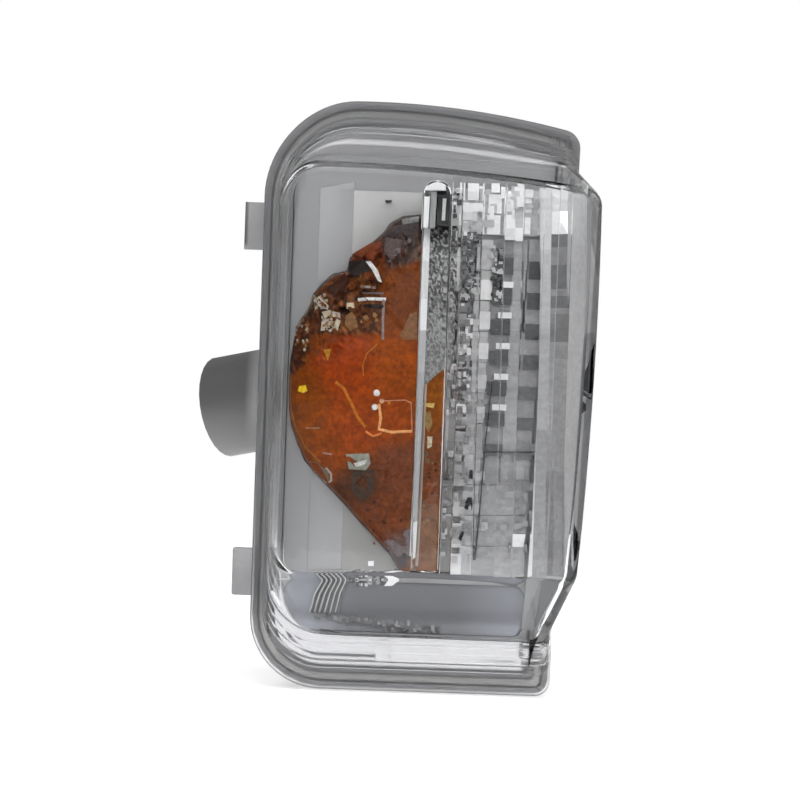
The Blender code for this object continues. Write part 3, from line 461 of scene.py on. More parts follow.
# %% Plates
def plate_mesh(name, outline, back, front, rounding=0.0):
    """Solid plate between two depths, with rounded front edges."""
    sheet = bmesh.new()
    face = sheet.faces.new([sheet.verts.new((x, -back, z)) for x, z in outline])
    extruded = bmesh.ops.extrude_face_region(sheet, geom=[face])
    moved = [item for item in extruded["geom"] if isinstance(item, bmesh.types.BMVert)]
    bmesh.ops.translate(sheet, verts=moved, vec=(0, back - front, 0))
    bmesh.ops.recalc_face_normals(sheet, faces=sheet.faces)
    if rounding:
        edges = {edge for point in moved for edge in point.link_edges}
        edges = [edge for edge in edges if all(point in moved for point in edge.verts)]
        bmesh.ops.bevel(sheet, geom=edges, offset=rounding, segments=3, profile=0.5,
                        affect="EDGES", clamp_overlap=True)
    return mesh_from(name, sheet)


def rectangle(left, right, bottom, top):
    """Corners of an upright rectangle."""
    return [(left, bottom), (right, bottom), (right, top), (left, top)]


def baked(made):
    """Mesh of an object as its modifiers leave it."""
    bpy.context.view_layer.update()
    return bpy.data.meshes.new_from_object(
        made.evaluated_get(bpy.context.evaluated_depsgraph_get()))


def cut(target, others, operation="DIFFERENCE"):
    """Cut or join solids, and apply the booleans."""
    for other in others:
        boolean = target.modifiers.new(other.name, "BOOLEAN")
        boolean.operation = operation
        boolean.solver = "MANIFOLD"
        boolean.object = other
        boolean.material_mode = "TRANSFER"
    mesh = baked(target)
    target.modifiers.clear()
    target.data = mesh
    for other in others:
        bpy.data.objects.remove(other)


print("corners of a unit rectangle:", rectangle(0, 1, 0, 1))

# %% [markdown]
# ## Outlines
# Every part of the lens follows the same rim: a straight left side with two large corners, a
# crowned top and a leaning right side. One outline is written once, and the step, the ledge
# and the raised window are that outline drawn in by different amounts.

# %% Outline of the rim
Outline = namedtuple("Outline", "left right_low right_high bottom top_left top_right crown "
                                "belly bulge corners")
RIM = Outline(-0.03145, 0.02885, 0.03145, -0.0589, 0.0575, 0.0538, 0.00296, 0.0, 0.0,
              (0.0145, 0.0030, 0.0030, 0.0170))
LEAST_CORNER = 0.0010
CORNER_POINTS = (20, 8, 8, 20)
SIDE_POINTS = (10, 12, 16, 8)


def inset(outline, left, right, bottom, top):
    """The same outline drawn in by its own amount on each side."""
    gaps = (min(left, bottom), min(right, bottom), min(right, top), min(left, top))
    corners = tuple(max(radius - gap, LEAST_CORNER) for radius, gap in zip(outline.corners, gaps))
    return outline._replace(
        left=outline.left + left, right_low=outline.right_low - right,
        right_high=outline.right_high - right, bottom=outline.bottom + bottom,
        top_left=outline.top_left - top, top_right=outline.top_right - top, corners=corners)


def even(outline, gap):
    """The outline drawn in by the same gap all round."""
    return inset(outline, gap, gap, gap, gap)


def corner_arcs(outline):
    """Points along the outline's four rounded corners, from the lower left one on."""
    corners = [Vector((outline.left, outline.bottom)), Vector((outline.right_low, outline.bottom)),
               Vector((outline.right_high, outline.top_right)),
               Vector((outline.left, outline.top_left))]
    arcs = []
    for i, corner in enumerate(corners):
        before = (corners[i - 1] - corner).normalized()
        after = (corners[(i + 1) % 4] - corner).normalized()
        half = before.angle(after) / 2
        radius = outline.corners[i]
        centre = corner + (before + after).normalized() * radius / math.sin(half)
        start = corner + before * radius / math.tan(half) - centre
        sweep = start.angle_signed(corner + after * radius / math.tan(half) - centre)
        turns = [Matrix.Rotation(-sweep * k / CORNER_POINTS[i], 2)
                 for k in range(CORNER_POINTS[i] + 1)]
        arcs.append([centre + turn @ start for turn in turns])
    return arcs


def outline_points(outline):
    """(x, z) points round an outline, always the same number of them."""
    arcs, points = corner_arcs(outline), []
    for side, between in enumerate(SIDE_POINTS):
        start, end = arcs[side][-1], arcs[(side + 1) % 4][0]
        points += [(point, side in (1, 2)) for point in arcs[side]]
        points += [(start.lerp(end, k / (between + 1)), side == 1)
                   for k in range(1, between + 1)]
    middle = (outline.top_left + outline.bottom) / 2
    shaped = []
    for point, leaning in points:
        x, z = point
        across = (x - outline.left) / (outline.right_high - outline.left)
        z += (outline.crown if z > middle else outline.belly) * 4 * across * (1 - across)
        if leaning:
            rise = (point[1] - outline.bottom) / (outline.top_right - outline.bottom)
            rise = min(max(rise, 0.0), 1.0)
            x += outline.bulge * 4 * rise * (1 - rise)
        shaped.append((x, z))
    return shaped


def ring(outline, depth):
    """Closed row of points at one depth in front of the back wall."""
    return [Vector((x, -depth, z)) for x, z in outline_points(outline)]


print("points on the rim:", len(outline_points(RIM)))

# %% [markdown]
# ## Window and its curved front
# A real lens is one moulding with an even wall. Its outside could be modelled as boxes with
# bevels, but the shoulder, the sweep and the leaning side all change along the rim. Rings of
# equal length, each one the outline at its own depth, can be lofted into any of these shapes.

# %% Window and its curved front
LENS_BACK, STEP_FRONT, WINDOW_FOOT, WINDOW_FRONT = 0.0300, 0.0330, 0.0345, 0.0480
SHOULDER_WIDTH = 0.0060
FRONT_SWEEP = 0.0025
WALL = 0.0013
FRONT_SCALES = (1.0, 0.975, 0.955, 0.93, 0.90, 0.86, 0.82, 0.76, 0.69, 0.61, 0.52, 0.4, 0.25)

step = inset(RIM, 0.0024, 0.0002, 0.0044, 0.0036)
foot = inset(RIM, 0.0030, 0.0004, 0.0110, 0.0065)._replace(crown=0.0018)
window = inset(foot, 0.0005, -0.0045, 0.0115, 0.0056)._replace(
    crown=0.0012, belly=0.0015, bulge=0.0009, corners=(0.0075, 0.0030, 0.0030, 0.0075))


def front_depth(x, wall=0.0):
    """Depth of the window's front at x, or of its inside: a round shoulder, then a sweep."""
    crest_x = foot.left + SHOULDER_WIDTH
    if x >= crest_x:
        sweep = (2 * x / (RIM.right_high - RIM.left)) ** 2
        return WINDOW_FRONT - wall - FRONT_SWEEP * sweep
    crest = front_depth(crest_x, wall) - WINDOW_FOOT
    reach = min((crest_x - x) / (SHOULDER_WIDTH - wall), 1.0)
    return WINDOW_FOOT + crest * math.sqrt(1 - reach ** 2)


def front_rings(outline, wall):
    """Rings across the window's front, outside or inside, and the point in their middle."""
    middle_x = (outline.left + outline.right_high) / 2
    middle_z = (outline.top_left + outline.bottom) / 2
    rows = []
    for scale in FRONT_SCALES:
        row = []
        for x, z in outline_points(outline):
            x = middle_x + (x - middle_x) * scale
            row.append(Vector((x, -front_depth(x, wall), middle_z + (z - middle_z) * scale)))
        rows.append(row)
    return rows, Vector((middle_x, -front_depth(middle_x, wall), middle_z))


print("front depth at the bar:", round(front_depth(0.004) * 1000, 1), "mm")

# %% [markdown]
# ## Terraces and rounded corners
# The ledge round the window is cut into fine terraces, which catch the light as thin lines
# along the rim. The profile's corners are rounded by a short curve between a ring and its
# neighbours, because a bevel would also round the places where the terraces must stay crisp.

# %% Terraces and rounded corners
TERRACES = 4
TERRACE_GROOVE = 0.00032
GROOVE_HALF = 0.04
STEP_ROUND, FOOT_ROUND = 0.00035, 0.0005
MOST_OF_A_SIDE = 0.45


def eased(rings, radii):
    """Rings with some of their profile's corners rounded; a radius of 0 keeps a corner."""
    made = []
    for k, row in enumerate(rings):
        radius = radii[k]
        if radius == 0 or k == 0 or k == len(rings) - 1:
            made.append(row)
            continue
        for t in (0.0, 0.25, 0.5, 0.75, 1.0):
            bent = []
            for before, point, after in zip(rings[k - 1], row, rings[k + 1]):
                back, on = before - point, after - point
                start = point + back * min(radius / max(back.length, MERGE), MOST_OF_A_SIDE)
                end = point + on * min(radius / max(on.length, MERGE), MOST_OF_A_SIDE)
                bent.append(start * (1 - t) ** 2 + point * 2 * t * (1 - t) + end * t ** 2)
            made.append(bent)
    return made


def terraces():
    """Rings from the step to the window's foot, with fine grooves between the terraces."""
    inner, outer = ring(foot, WINDOW_FOOT), ring(step, WINDOW_FOOT)
    rows, radii = [outer], [STEP_ROUND]
    for k in range(1, TERRACES):
        for offset, sunk in ((-GROOVE_HALF, 0), (0.0, 1), (GROOVE_HALF, 0)):
            row = [a.lerp(b, k / TERRACES + offset) for a, b in zip(outer, inner)]
            rows.append([point + Vector((0, TERRACE_GROOVE * sunk, 0)) for point in row])
            radii.append(0.0)
    return rows + [inner], radii + [FOOT_ROUND]


print("rings of the ledge:", len(terraces()[0]))

# %% [markdown]
# ## Lens shell
# The outside is lofted up the rim, over the terraces and across the raised window. The inside
# is the window moved in by the wall, because parallel faces let the view through unbent. Its
# edges lie further in where the walls lean, and a tongue runs round the back for the seal.

# %% Lens shell
# the tongue's outer and inner gap to the rim, and its length
TONGUE = (0.0019, 0.0029, 0.0013)
RIM_ROUND, STEP_EDGE_ROUND, CREST_ROUND, INNER_ROUND = 0.0005, 0.0003, 0.0014, 0.0008
# how far the inside is drawn in at its left, right, bottom and top: front, foot and opening
FRONT_GAPS, FOOT_GAPS = (0.0013, 0.0020, 0.0006, 0.0009), (0.00125, 0.0020, 0.0006, 0.0009)
OPENING_GAPS = (0.0040, 0.0044, 0.0044, 0.0044)


def loft(name, rows, first_tip=None, last_tip=None):
    """Closed mesh through rows of equal length, ended by a point or a flat face."""
    sheet = bmesh.new()
    made = [[sheet.verts.new(point) for point in row] for row in rows]
    count = len(made[0])
    for lower, upper in zip(made, made[1:]):
        for i in range(count):
            j = (i + 1) % count
            sheet.faces.new((lower[i], lower[j], upper[j], upper[i]))
    for row, tip in ((made[0], first_tip), (made[-1], last_tip)):
        if tip is None:
            sheet.faces.new(row)
            continue
        point = sheet.verts.new(tip)
        for i in range(count):
            sheet.faces.new((row[i], row[(i + 1) % count], point))
    bmesh.ops.remove_doubles(sheet, verts=sheet.verts, dist=MERGE)
    bmesh.ops.recalc_face_normals(sheet, faces=sheet.faces)
    return mesh_from(name, sheet)


front, tip = front_rings(window, 0.0)
ledge, ledge_radii = terraces()
rows = [ring(RIM, LENS_BACK), ring(RIM, STEP_FRONT), ring(step, STEP_FRONT)] + ledge + front
radii = [0.0, RIM_ROUND, STEP_EDGE_ROUND] + ledge_radii + [CREST_ROUND] + [0.0] * (len(front) - 1)
outside = eased(rows, radii)
hollow, inside_tip = front_rings(inset(window, *FRONT_GAPS), WALL)
hollow = [ring(inset(foot, *FOOT_GAPS), WINDOW_FOOT - WALL)] + hollow
inside = eased(hollow, [0.0, INNER_ROUND] + [0.0] * (len(hollow) - 2))
opening = inset(RIM, *OPENING_GAPS)
tongue_out, tongue_in = even(RIM, TONGUE[0]), even(RIM, TONGUE[1])
tongue_end = LENS_BACK - TONGUE[2]
joint = [ring(opening, WINDOW_FOOT - WALL), ring(opening, LENS_BACK), ring(tongue_in, LENS_BACK),
         ring(tongue_in, tongue_end), ring(tongue_out, tongue_end), ring(tongue_out, LENS_BACK)]
lens_mesh = loft("outer_lens_shell", inside[::-1] + joint + outside, inside_tip, tip)
print("lens shell:", len(lens_mesh.polygons), "faces")

# %% [markdown]
# ## Light bar, flutes and tab
# The bar and the flutes are thick ribs on the lens's inner face. They spread the light in one
# direction, so each of them shows a squeezed view of what lies behind it. A union joins them to
# the shell, because a face left inside clear plastic would show.

# %% Ribs on the lens
BAR = (0.0002, 0.0058)
BAR_CENTRE, BAR_DEPTH, BAR_TOP, BAR_EDGE, BAR_HEIGHT = 0.004, 0.0045, 0.0026, 0.0009, 0.0426
FLUTE_EDGES = (0.0059, 0.00805, 0.01205, 0.01645, 0.02005, 0.02405, 0.02705, 0.02965)
FLUTE_DEPTH, FLUTE_POWER, FLUTE_SIDES = 0.0003, 5, 16


def window_edge(x, upper):
    """Height of the window's upper or lower edge at x."""
    across = (x - window.left) / (window.right_high - window.left)
    swell = 4 * across * (1 - across)
    if upper:
        drop = (window.top_left - window.top_right) * across
        return window.top_left - drop + window.crown * swell
    return window.bottom + window.belly * swell


def flute(number, left, right):
    """Rib with a round inner face, rooted in the middle of the wall."""
    centre, half = (left + right) / 2, (right - left) / 2
    root = WALL / 2 - front_depth(centre)
    profile = []
    for k in range(FLUTE_SIDES + 1):
        across = math.cos(math.pi * k / FLUTE_SIDES)
        rise = WALL / 2 + FLUTE_DEPTH * (1 - abs(across) ** FLUTE_POWER) ** (1 / FLUTE_POWER)
        profile.append((centre + half * across, root + (rise if 0 < k < FLUTE_SIDES else 0)))
    ends = (window_edge(centre, False) + WALL / 2, window_edge(centre, True) - WALL / 2)
    return put(f"flute_{number}", loft("flute", [[Vector((x, y, z)) for x, y in profile]
                                                 for z in ends]))


def light_bar():
    """Thick rib with a round upper end, down the middle of the window."""
    face, low = front_depth(BAR_CENTRE) - WALL, window_edge(BAR_CENTRE, False) + WALL / 2
    turns = [math.pi / 2 * k / 6 for k in range(1, 7)]
    line = [(BAR[1], low), (BAR[1], BAR_HEIGHT - BAR_TOP)]
    line += [(BAR[1] - BAR_TOP * (1 - math.cos(turn)), BAR_HEIGHT - BAR_TOP * (1 - math.sin(turn)))
             for turn in turns]
    line += [(BAR[0] + BAR[1] - x, z) for x, z in line[::-1]]
    return put("bar", plate_mesh("bar", line, face + WALL / 2, face - BAR_DEPTH, BAR_EDGE))


bar = light_bar()
ribs = [flute(i + 1, *edges) for i, edges in enumerate(zip(FLUTE_EDGES, FLUTE_EDGES[1:]))]
print("flutes:", len(ribs))

# %% [markdown]
# ## Lens in one piece
# The lower tab and the short ribs at the upper right belong to the same moulding, so they join
# the shell too. The tab is frosted, which takes a finish of its own on some of the faces.

# %% Lens in one piece
TAB = ((-0.03535, -0.0325, -0.04075), (-0.0302, -0.0303, -0.03125))
TAB_ROUND = 0.0004
END_RIBS = (0.0252, 0.0266, 0.0272, 0.0284, 0.0290)
END_RIB_WIDTH, END_RIB_ROUND = 0.0005, 0.0001
END_RIB_LOW, END_RIB_HIGH = (-0.0345, 0.0480), (-0.0325, 0.0531)


def box_mesh(name, low, high, rounding, segments):
    """Box between two corners with all its edges rounded."""
    low, high = Vector(low), Vector(high)
    sheet = bmesh.new()
    bmesh.ops.create_cube(sheet, size=1.0)
    bmesh.ops.scale(sheet, vec=high - low, verts=sheet.verts)
    bmesh.ops.translate(sheet, vec=(low + high) / 2, verts=sheet.verts)
    bmesh.ops.bevel(sheet, geom=sheet.edges[:], offset=rounding, segments=segments,
                    profile=0.5, affect="EDGES")
    return mesh_from(name, sheet)


frosted = grained("frosted_tab", (0.32, 0.32, 0.33), 0.25, 900.0, bump=(0.5, 0.0003),
                  transmission=0.45, ior=1.46)
lens = put("clear_lens_moulding", lens_mesh, clear)
tab = put("tab", box_mesh("tab", *TAB, TAB_ROUND, 2), frosted)
for i, x in enumerate(END_RIBS):
    ribs.append(put(f"end_rib_{i + 1}", box_mesh(
        "end_rib", (x, *END_RIB_LOW), (x + END_RIB_WIDTH, *END_RIB_HIGH), END_RIB_ROUND, 1)))
for piece in [bar] + ribs:
    piece.data.materials.append(clear)
cut(lens, [bar, tab] + ribs, "UNION")
shaded(lens.data)
print("lens:", len(lens.data.polygons), "faces")

# %% [markdown]
# ## Amber outline
# The amber filter is a D with a broken, stepped upper left. No formula gives that edge, so its
# corners are listed, in millimetres. The bezel gets a hole of the same outline, grown by a gap.

# %% Amber outline
AMBER_RIGHT, AMBER_MIDDLE = 0.0060, 0.0033
AMBER_CENTRE = (-0.008, AMBER_MIDDLE)
AMBER_LINE = (
    (5.0, -36.2), (6.0, -35.2), (6.0, 36.0), (5.2, 36.6), (-0.2, 36.6), (-3.8, 36.1), (-6.3, 34.5),
    (-7.7, 32.4), (-9.4, 30.9), (-14.0, 27.5), (-14.4, 24.9), (-17.2, 24.1), (-19.8, 21.5),
    (-21.0, 20.0), (-21.2, 18.5), (-22.9, 15.6), (-24.6, 13.3), (-25.4, 9.8), (-26.3, 5.8),
    (-26.35, 2.8), (-26.1, -2.7), (-25.1, -6.2), (-23.0, -10.4), (-21.6, -13.1), (-19.8, -15.3),
    (-16.9, -18.2), (-13.3, -21.8), (-9.7, -25.7), (-6.1, -29.3), (-4.0, -31.5), (-2.1, -34.4),
    (-1.0, -36.2))


def amber_points(gap=0.0, spacing=None):
    """(x, z) points of the D outline, grown by a gap and cut into short pieces."""
    corners = [Vector((x, z)) / 1000 for x, z in AMBER_LINE]
    middle = Vector(AMBER_CENTRE)
    larger = [corner + (corner - middle).normalized() * gap for corner in corners]
    if spacing is None:
        return [tuple(point) for point in larger]
    points = []
    for start, end in zip(larger, larger[1:] + larger[:1]):
        pieces = max(1, round((end - start).length / spacing))
        points += [tuple(start.lerp(end, k / pieces)) for k in range(pieces)]
    return points


print("amber outline:", len(amber_points(spacing=0.0007)), "points")

# %% [markdown]
# ## Bezel finishes
# A satin grey bezel closes the mouth of the housing. Its deck gets darker downwards, and its trough
# is a blue grey that painted shade makes darkest in the middle. Such slow changes of tone are
# patches over the mottled grey again, with a zone as wide as the change.

# %% Bezel finishes
satin = grained("satin_bezel", (0.33, 0.33, 0.335), 0.35, 1200.0,
                ((0.29, 0.29, 0.295), (0.36, 0.36, 0.36)), bump=(0.05, 0.0002), metallic=0.25)
pale = grained("satin_deck", (0.44, 0.44, 0.43), 0.3, 1200.0,
               ((0.36, 0.36, 0.35), (0.45, 0.45, 0.44)),
               (((0.27, 0.268, 0.26), ("Z", 0.0100, -0.0300)),), metallic=0.15)
dusk = grained("blue_grey_trough", (0.17, 0.175, 0.195), 0.3, 500.0,
               ((0.20, 0.205, 0.235), (0.27, 0.28, 0.32)),
               # painted shade: the middle of the trough is darkest
               (((0.105, 0.107, 0.120), ("X", -0.0200, -0.0110), ("X", 0.0230, 0.0100)),),
               metallic=0.3)
# painted highlight: the near white of the sill and the trim
sill_highlight = grained("bright_sill", (0.94, 0.94, 0.95), 0.25, 500.0, bump=(0.1, 0.0002))
print("bezel finishes:", ", ".join(made.name for made in (satin, pale, dusk, sill_highlight)))

# %% [markdown]
# ## Bezel
# The bezel has a flat deck round the amber filter, a shallow pilaster beside it, a dished
# trough below and a bright sill. It is built from plates with rounded edges, joined and cut by
# booleans, as a toolmaker would cut a mould. The trough's cutter is a flattened ball whose two
# halves are drawn apart.

# %% Bezel
BEZEL_FRONT, BEZEL_BACK, BEZEL_INSET = 0.0294, 0.0283, 0.0046
TROUGH = (-0.0368, -0.0473)
TROUGH_ENDS = (-0.0232, 0.0212)
TROUGH_DEPTH, TROUGH_END_RADIUS = 0.0013, 0.0030
TROUGH_BLOCK = (-0.0263, 0.0243, -0.0476, -0.0366)
DECK = (-0.0136, 0.0079, -0.0362, 0.0412)
PILASTER = [(-0.0204, -0.0362), (-0.0134, -0.0362), (-0.0134, 0.0430), (-0.0204, 0.0414)]
RAISED_BACK, DECK_FRONT, PILASTER_FRONT = 0.0290, 0.0297, 0.02965
AMBER_CLEARANCE = 0.0002
BEZEL_ROUND, RAISED_ROUND = 0.0003, 0.0001


def dish_mesh():
    """Cutter of the trough: a long dish with round ends."""
    dish = bmesh.new()
    bmesh.ops.create_uvsphere(dish, u_segments=64, v_segments=48, radius=1.0)
    for point in dish.verts:
        shift = TROUGH_ENDS[point.co.x > 0.0]
        point.co = Vector((shift + point.co.x * TROUGH_END_RADIUS,
                           -BEZEL_FRONT + point.co.y * TROUGH_DEPTH,
                           sum(TROUGH) / 2 + point.co.z * (TROUGH[0] - TROUGH[1]) / 2))
    return mesh_from("dish", dish)


bezel = put("satin_bezel", plate_mesh("bezel", outline_points(even(RIM, BEZEL_INSET)), BEZEL_BACK,
                                      BEZEL_FRONT, BEZEL_ROUND), satin)
thick = put("thick", plate_mesh("thick", rectangle(*TROUGH_BLOCK), BEZEL_BACK - TROUGH_DEPTH,
                                BEZEL_FRONT - 0.0001), dusk)
cut(bezel, [thick], "UNION")
cut(bezel, [put("trough", dish_mesh(), dusk)])
deck = put("deck", plate_mesh("deck", rectangle(*DECK), RAISED_BACK, DECK_FRONT, RAISED_ROUND),
           pale)
pilaster = put("pilaster", plate_mesh("pilaster", PILASTER, RAISED_BACK, PILASTER_FRONT,
                                      RAISED_ROUND), satin)
cut(bezel, [deck, pilaster], "UNION")
cut(bezel, [put("hole", plate_mesh("hole", amber_points(AMBER_CLEARANCE), 0.0200, 0.0400))])
print("bezel:", len(bezel.data.polygons), "faces")

# %% [markdown]
# ## Sill, trim and groove
# A bright sill runs round the bottom of the bezel, and a thin trim along its top; their near white
# is painted highlight, the light that the lens's bottom ledge and top step catch. Both are bands
# between two outlines, from one of their points to another, so they follow the rim.

# %% Sill, trim and groove
BOTTOM_RUN, TOP_RUN, GROOVE_RUN = (-1, 34), (63, 75), (5, 34)
SILL_TOP = inset(RIM, 0.0053, 0.0052, 0.0112, 0.0070)._replace(
    corners=(0.0100, 0.0010, 0.0010, 0.0010))


def band(name, outside_line, inside_line, run, back, front, material):
    """Plate between two outlines, from one of their points to another."""
    far, near = outline_points(outside_line), outline_points(inside_line)
    first, last = run
    if first < 0:
        far, near, last = far[first:] + far, near[first:] + near, last - first
        first = 0
    line = far[first:last] + near[first:last][::-1]
    return put(name, plate_mesh(name, line, back, front, 0.0002), material)


cut(bezel, [
    band("sill", even(RIM, 0.0049), SILL_TOP, BOTTOM_RUN, RAISED_BACK, 0.0306, sill_highlight),
    band("trim", even(RIM, 0.0050), even(RIM, 0.0056), TOP_RUN, RAISED_BACK, 0.0310, sill_highlight)],
    "UNION")
cut(bezel, [band("groove", even(RIM, 0.0065), even(RIM, 0.0071), GROOVE_RUN, 0.0301, 0.0320, dusk)])
shaded(bezel.data, math.radians(30))
print("bezel with its sill:", len(bezel.data.polygons), "faces")

# %% [markdown]
# ## Stepped cells
# Behind the flutes stands a reflector of small steps. Each column repeats the same cell down its
# height at one pitch, a recess darkened by painted shade over a lip with a painted highlight where
# it catches the light, and the cells fade towards the bottom. Such a rule is best made with
# Geometry Nodes: one tree builds a column, and the columns differ only in their inputs.

# %% Stepped cells: the tree
INPUTS = {"Rows": "Int", "Pitch": "Float", "Lean": "Float", "Width": "Float", "Height": "Float",
          "Shrink": "Float", "Depth": "Float", "Tone Top": "Float", "Tone Bottom": "Float",
          "Jitter": "Float", "Seed": "Int", "Place": "Vector", "Material": "Material"}
KINDS = {"in": "NodeGroupInput", "out": "NodeGroupOutput", "line": "GeometryNodeMeshLine",
         "box": "GeometryNodeMeshCube", "each": "GeometryNodeInstanceOnPoints",
         "index": "GeometryNodeInputIndex", "small": "ShaderNodeMapRange",
         "tone": "ShaderNodeMapRange", "random": "FunctionNodeRandomValue",
         "size": "ShaderNodeCombineXYZ", "offset": "ShaderNodeCombineXYZ",
         "unit": "ShaderNodeCombineXYZ", "store": "GeometryNodeStoreNamedAttribute",
         "real": "GeometryNodeRealizeInstances", "finish": "GeometryNodeSetMaterial"}
OPERATIONS = {"run": "MULTIPLY", "drop": "MULTIPLY", "share": "DIVIDE", "less": "SUBTRACT",
              "minus": "SUBTRACT", "sum": "ADD"}
PLAIN = {("less", 1): 1.0, ("drop", 1): -1.0, ("small", "To Min"): 1.0, ("minus", 0): 1.0,
         ("size", "X"): 1.0, ("size", "Y"): 1.0, ("random", 2): 0.0, ("store", "Name"): "tone"}
LINKS = (
    # the next cell lies one pitch lower, and the column leans as it goes down
    ("in.Pitch", "run.0"), ("in.Lean", "run.1"), ("in.Pitch", "drop.0"), ("run.0", "offset.X"),
    ("drop.0", "offset.Z"), ("in.Rows", "line.Count"), ("in.Place", "line.Start Location"),
    ("offset.0", "line.Offset"),
    # how far down a cell is, from 0 to 1
    ("in.Rows", "less.0"), ("index.0", "share.0"), ("less.0", "share.1"),
    # each cell is a box that gets lower towards the bottom
    ("in.Width", "unit.X"), ("in.Depth", "unit.Y"), ("in.Height", "unit.Z"), ("unit.0", "box.Size"),
    ("share.0", "small.Value"), ("in.Shrink", "minus.1"), ("minus.0", "small.To Max"),
    ("small.Result", "size.Z"), ("line.Mesh", "each.Points"), ("box.Mesh", "each.Instance"),
    ("size.0", "each.Scale"),
    # its tone changes towards the bottom, with some chance in it
    ("share.0", "tone.Value"), ("in.Tone Top", "tone.To Min"), ("in.Tone Bottom", "tone.To Max"),
    ("in.Jitter", "random.3"), ("in.Seed", "random.Seed"), ("tone.Result", "sum.0"),
    ("random.1", "sum.1"), ("each.0", "store.Geometry"), ("sum.0", "store.Value"),
    # real faces with their finish, which an export can read
    ("store.0", "real.0"), ("real.0", "finish.Geometry"), ("in.Material", "finish.Material"),
    ("finish.0", "out.0"))


def cell_tree():
    """A column of boxes at one pitch, which get smaller and change tone downwards."""
    tree = bpy.data.node_groups.new("stepped_cells", "GeometryNodeTree")
    for label, kind in INPUTS.items():
        tree.interface.new_socket(label, in_out="INPUT", socket_type="NodeSocket" + kind)
    tree.interface.new_socket("Cells", in_out="OUTPUT", socket_type="NodeSocketGeometry")
    made = {key: tree.nodes.new(kind) for key, kind in KINDS.items()}
    for key, operation in OPERATIONS.items():
        made[key] = tree.nodes.new("ShaderNodeMath")
        made[key].operation = operation
    made["store"].data_type, made["store"].domain = "FLOAT", "INSTANCE"
    for (key, socket), value in PLAIN.items():
        made[key].inputs[socket].default_value = value
    connect(tree, made, LINKS)
    return tree


def grown(tree, name, **inputs):
    """Mesh that a node tree makes with these inputs; spaces in their names are written as _."""
    maker = put(name, bpy.data.meshes.new(name))
    modifier = maker.modifiers.new(name, "NODES")
    modifier.node_group = tree
    for socket in tree.interface.items_tree:
        if socket.item_type == "SOCKET" and socket.name.replace(" ", "_") in inputs:
            modifier[socket.identifier] = inputs[socket.name.replace(" ", "_")]
    mesh = baked(maker)
    bpy.data.objects.remove(maker)
    return mesh


cells = cell_tree()
print("cell tree:", len(cells.nodes), "nodes")

# %% [markdown]
# ## Cell finish
# All the cells are one bright coating, and only their tones differ: each tone is a painted
# reflection of the part of the room that the cell mirrors, with painted shade in the recesses and
# painted highlights on the lips. A tone is kept on the mesh as an attribute and a ramp turns it
# into a colour, so one material serves black recesses and white lips alike.

# %% Cell finish
STOPS = ((0.0, (0.012, 0.012, 0.013)), (0.3, (0.12, 0.122, 0.125)), (0.6, (0.34, 0.34, 0.345)),
         (1.0, (0.92, 0.92, 0.92)))


def attribute(tree, name):
    """Outputs of a node that reads an attribute of the mesh."""
    made = tree.nodes.new("ShaderNodeAttribute")
    made.attribute_name = name
    return made.outputs


cell_finish, tree, shader = finish("stepped_coating", (0.5, 0.5, 0.5), 0.22, metallic=0.2)
texture = use_grain(tree, 900.0)
uneven = scaled(tree, texture["Height"], To_Min=-0.12, To_Max=0.12)
ramp = tree.nodes.new("ShaderNodeValToRGB")
while len(ramp.color_ramp.elements) < len(STOPS):
    ramp.color_ramp.elements.new(0.5)
for element, (place, colour) in zip(ramp.color_ramp.elements, STOPS):
    element.position = place
    element.color = (*colour, 1.0)
tree.links.new(calculated(tree, "ADD", attribute(tree, "tone")["Fac"], uneven),
               ramp.inputs["Fac"])
tree.links.new(ramp.outputs["Color"], shader.inputs["Base Color"])
add_bump(tree, shader, texture["Height"], 0.25, 0.0002)
print("cell tones:", len(STOPS))

# %% [markdown]
# ## Columns of cells
# Seventeen columns stand side by side and over each other. Their edges, pitch and tones were read
# from the picture, and the tree does the rest. The first rows under the window's top are large and
# white, where the reflector's upper lip catches the light.

# %% Stepped cells: the columns
LEAN = -0.023
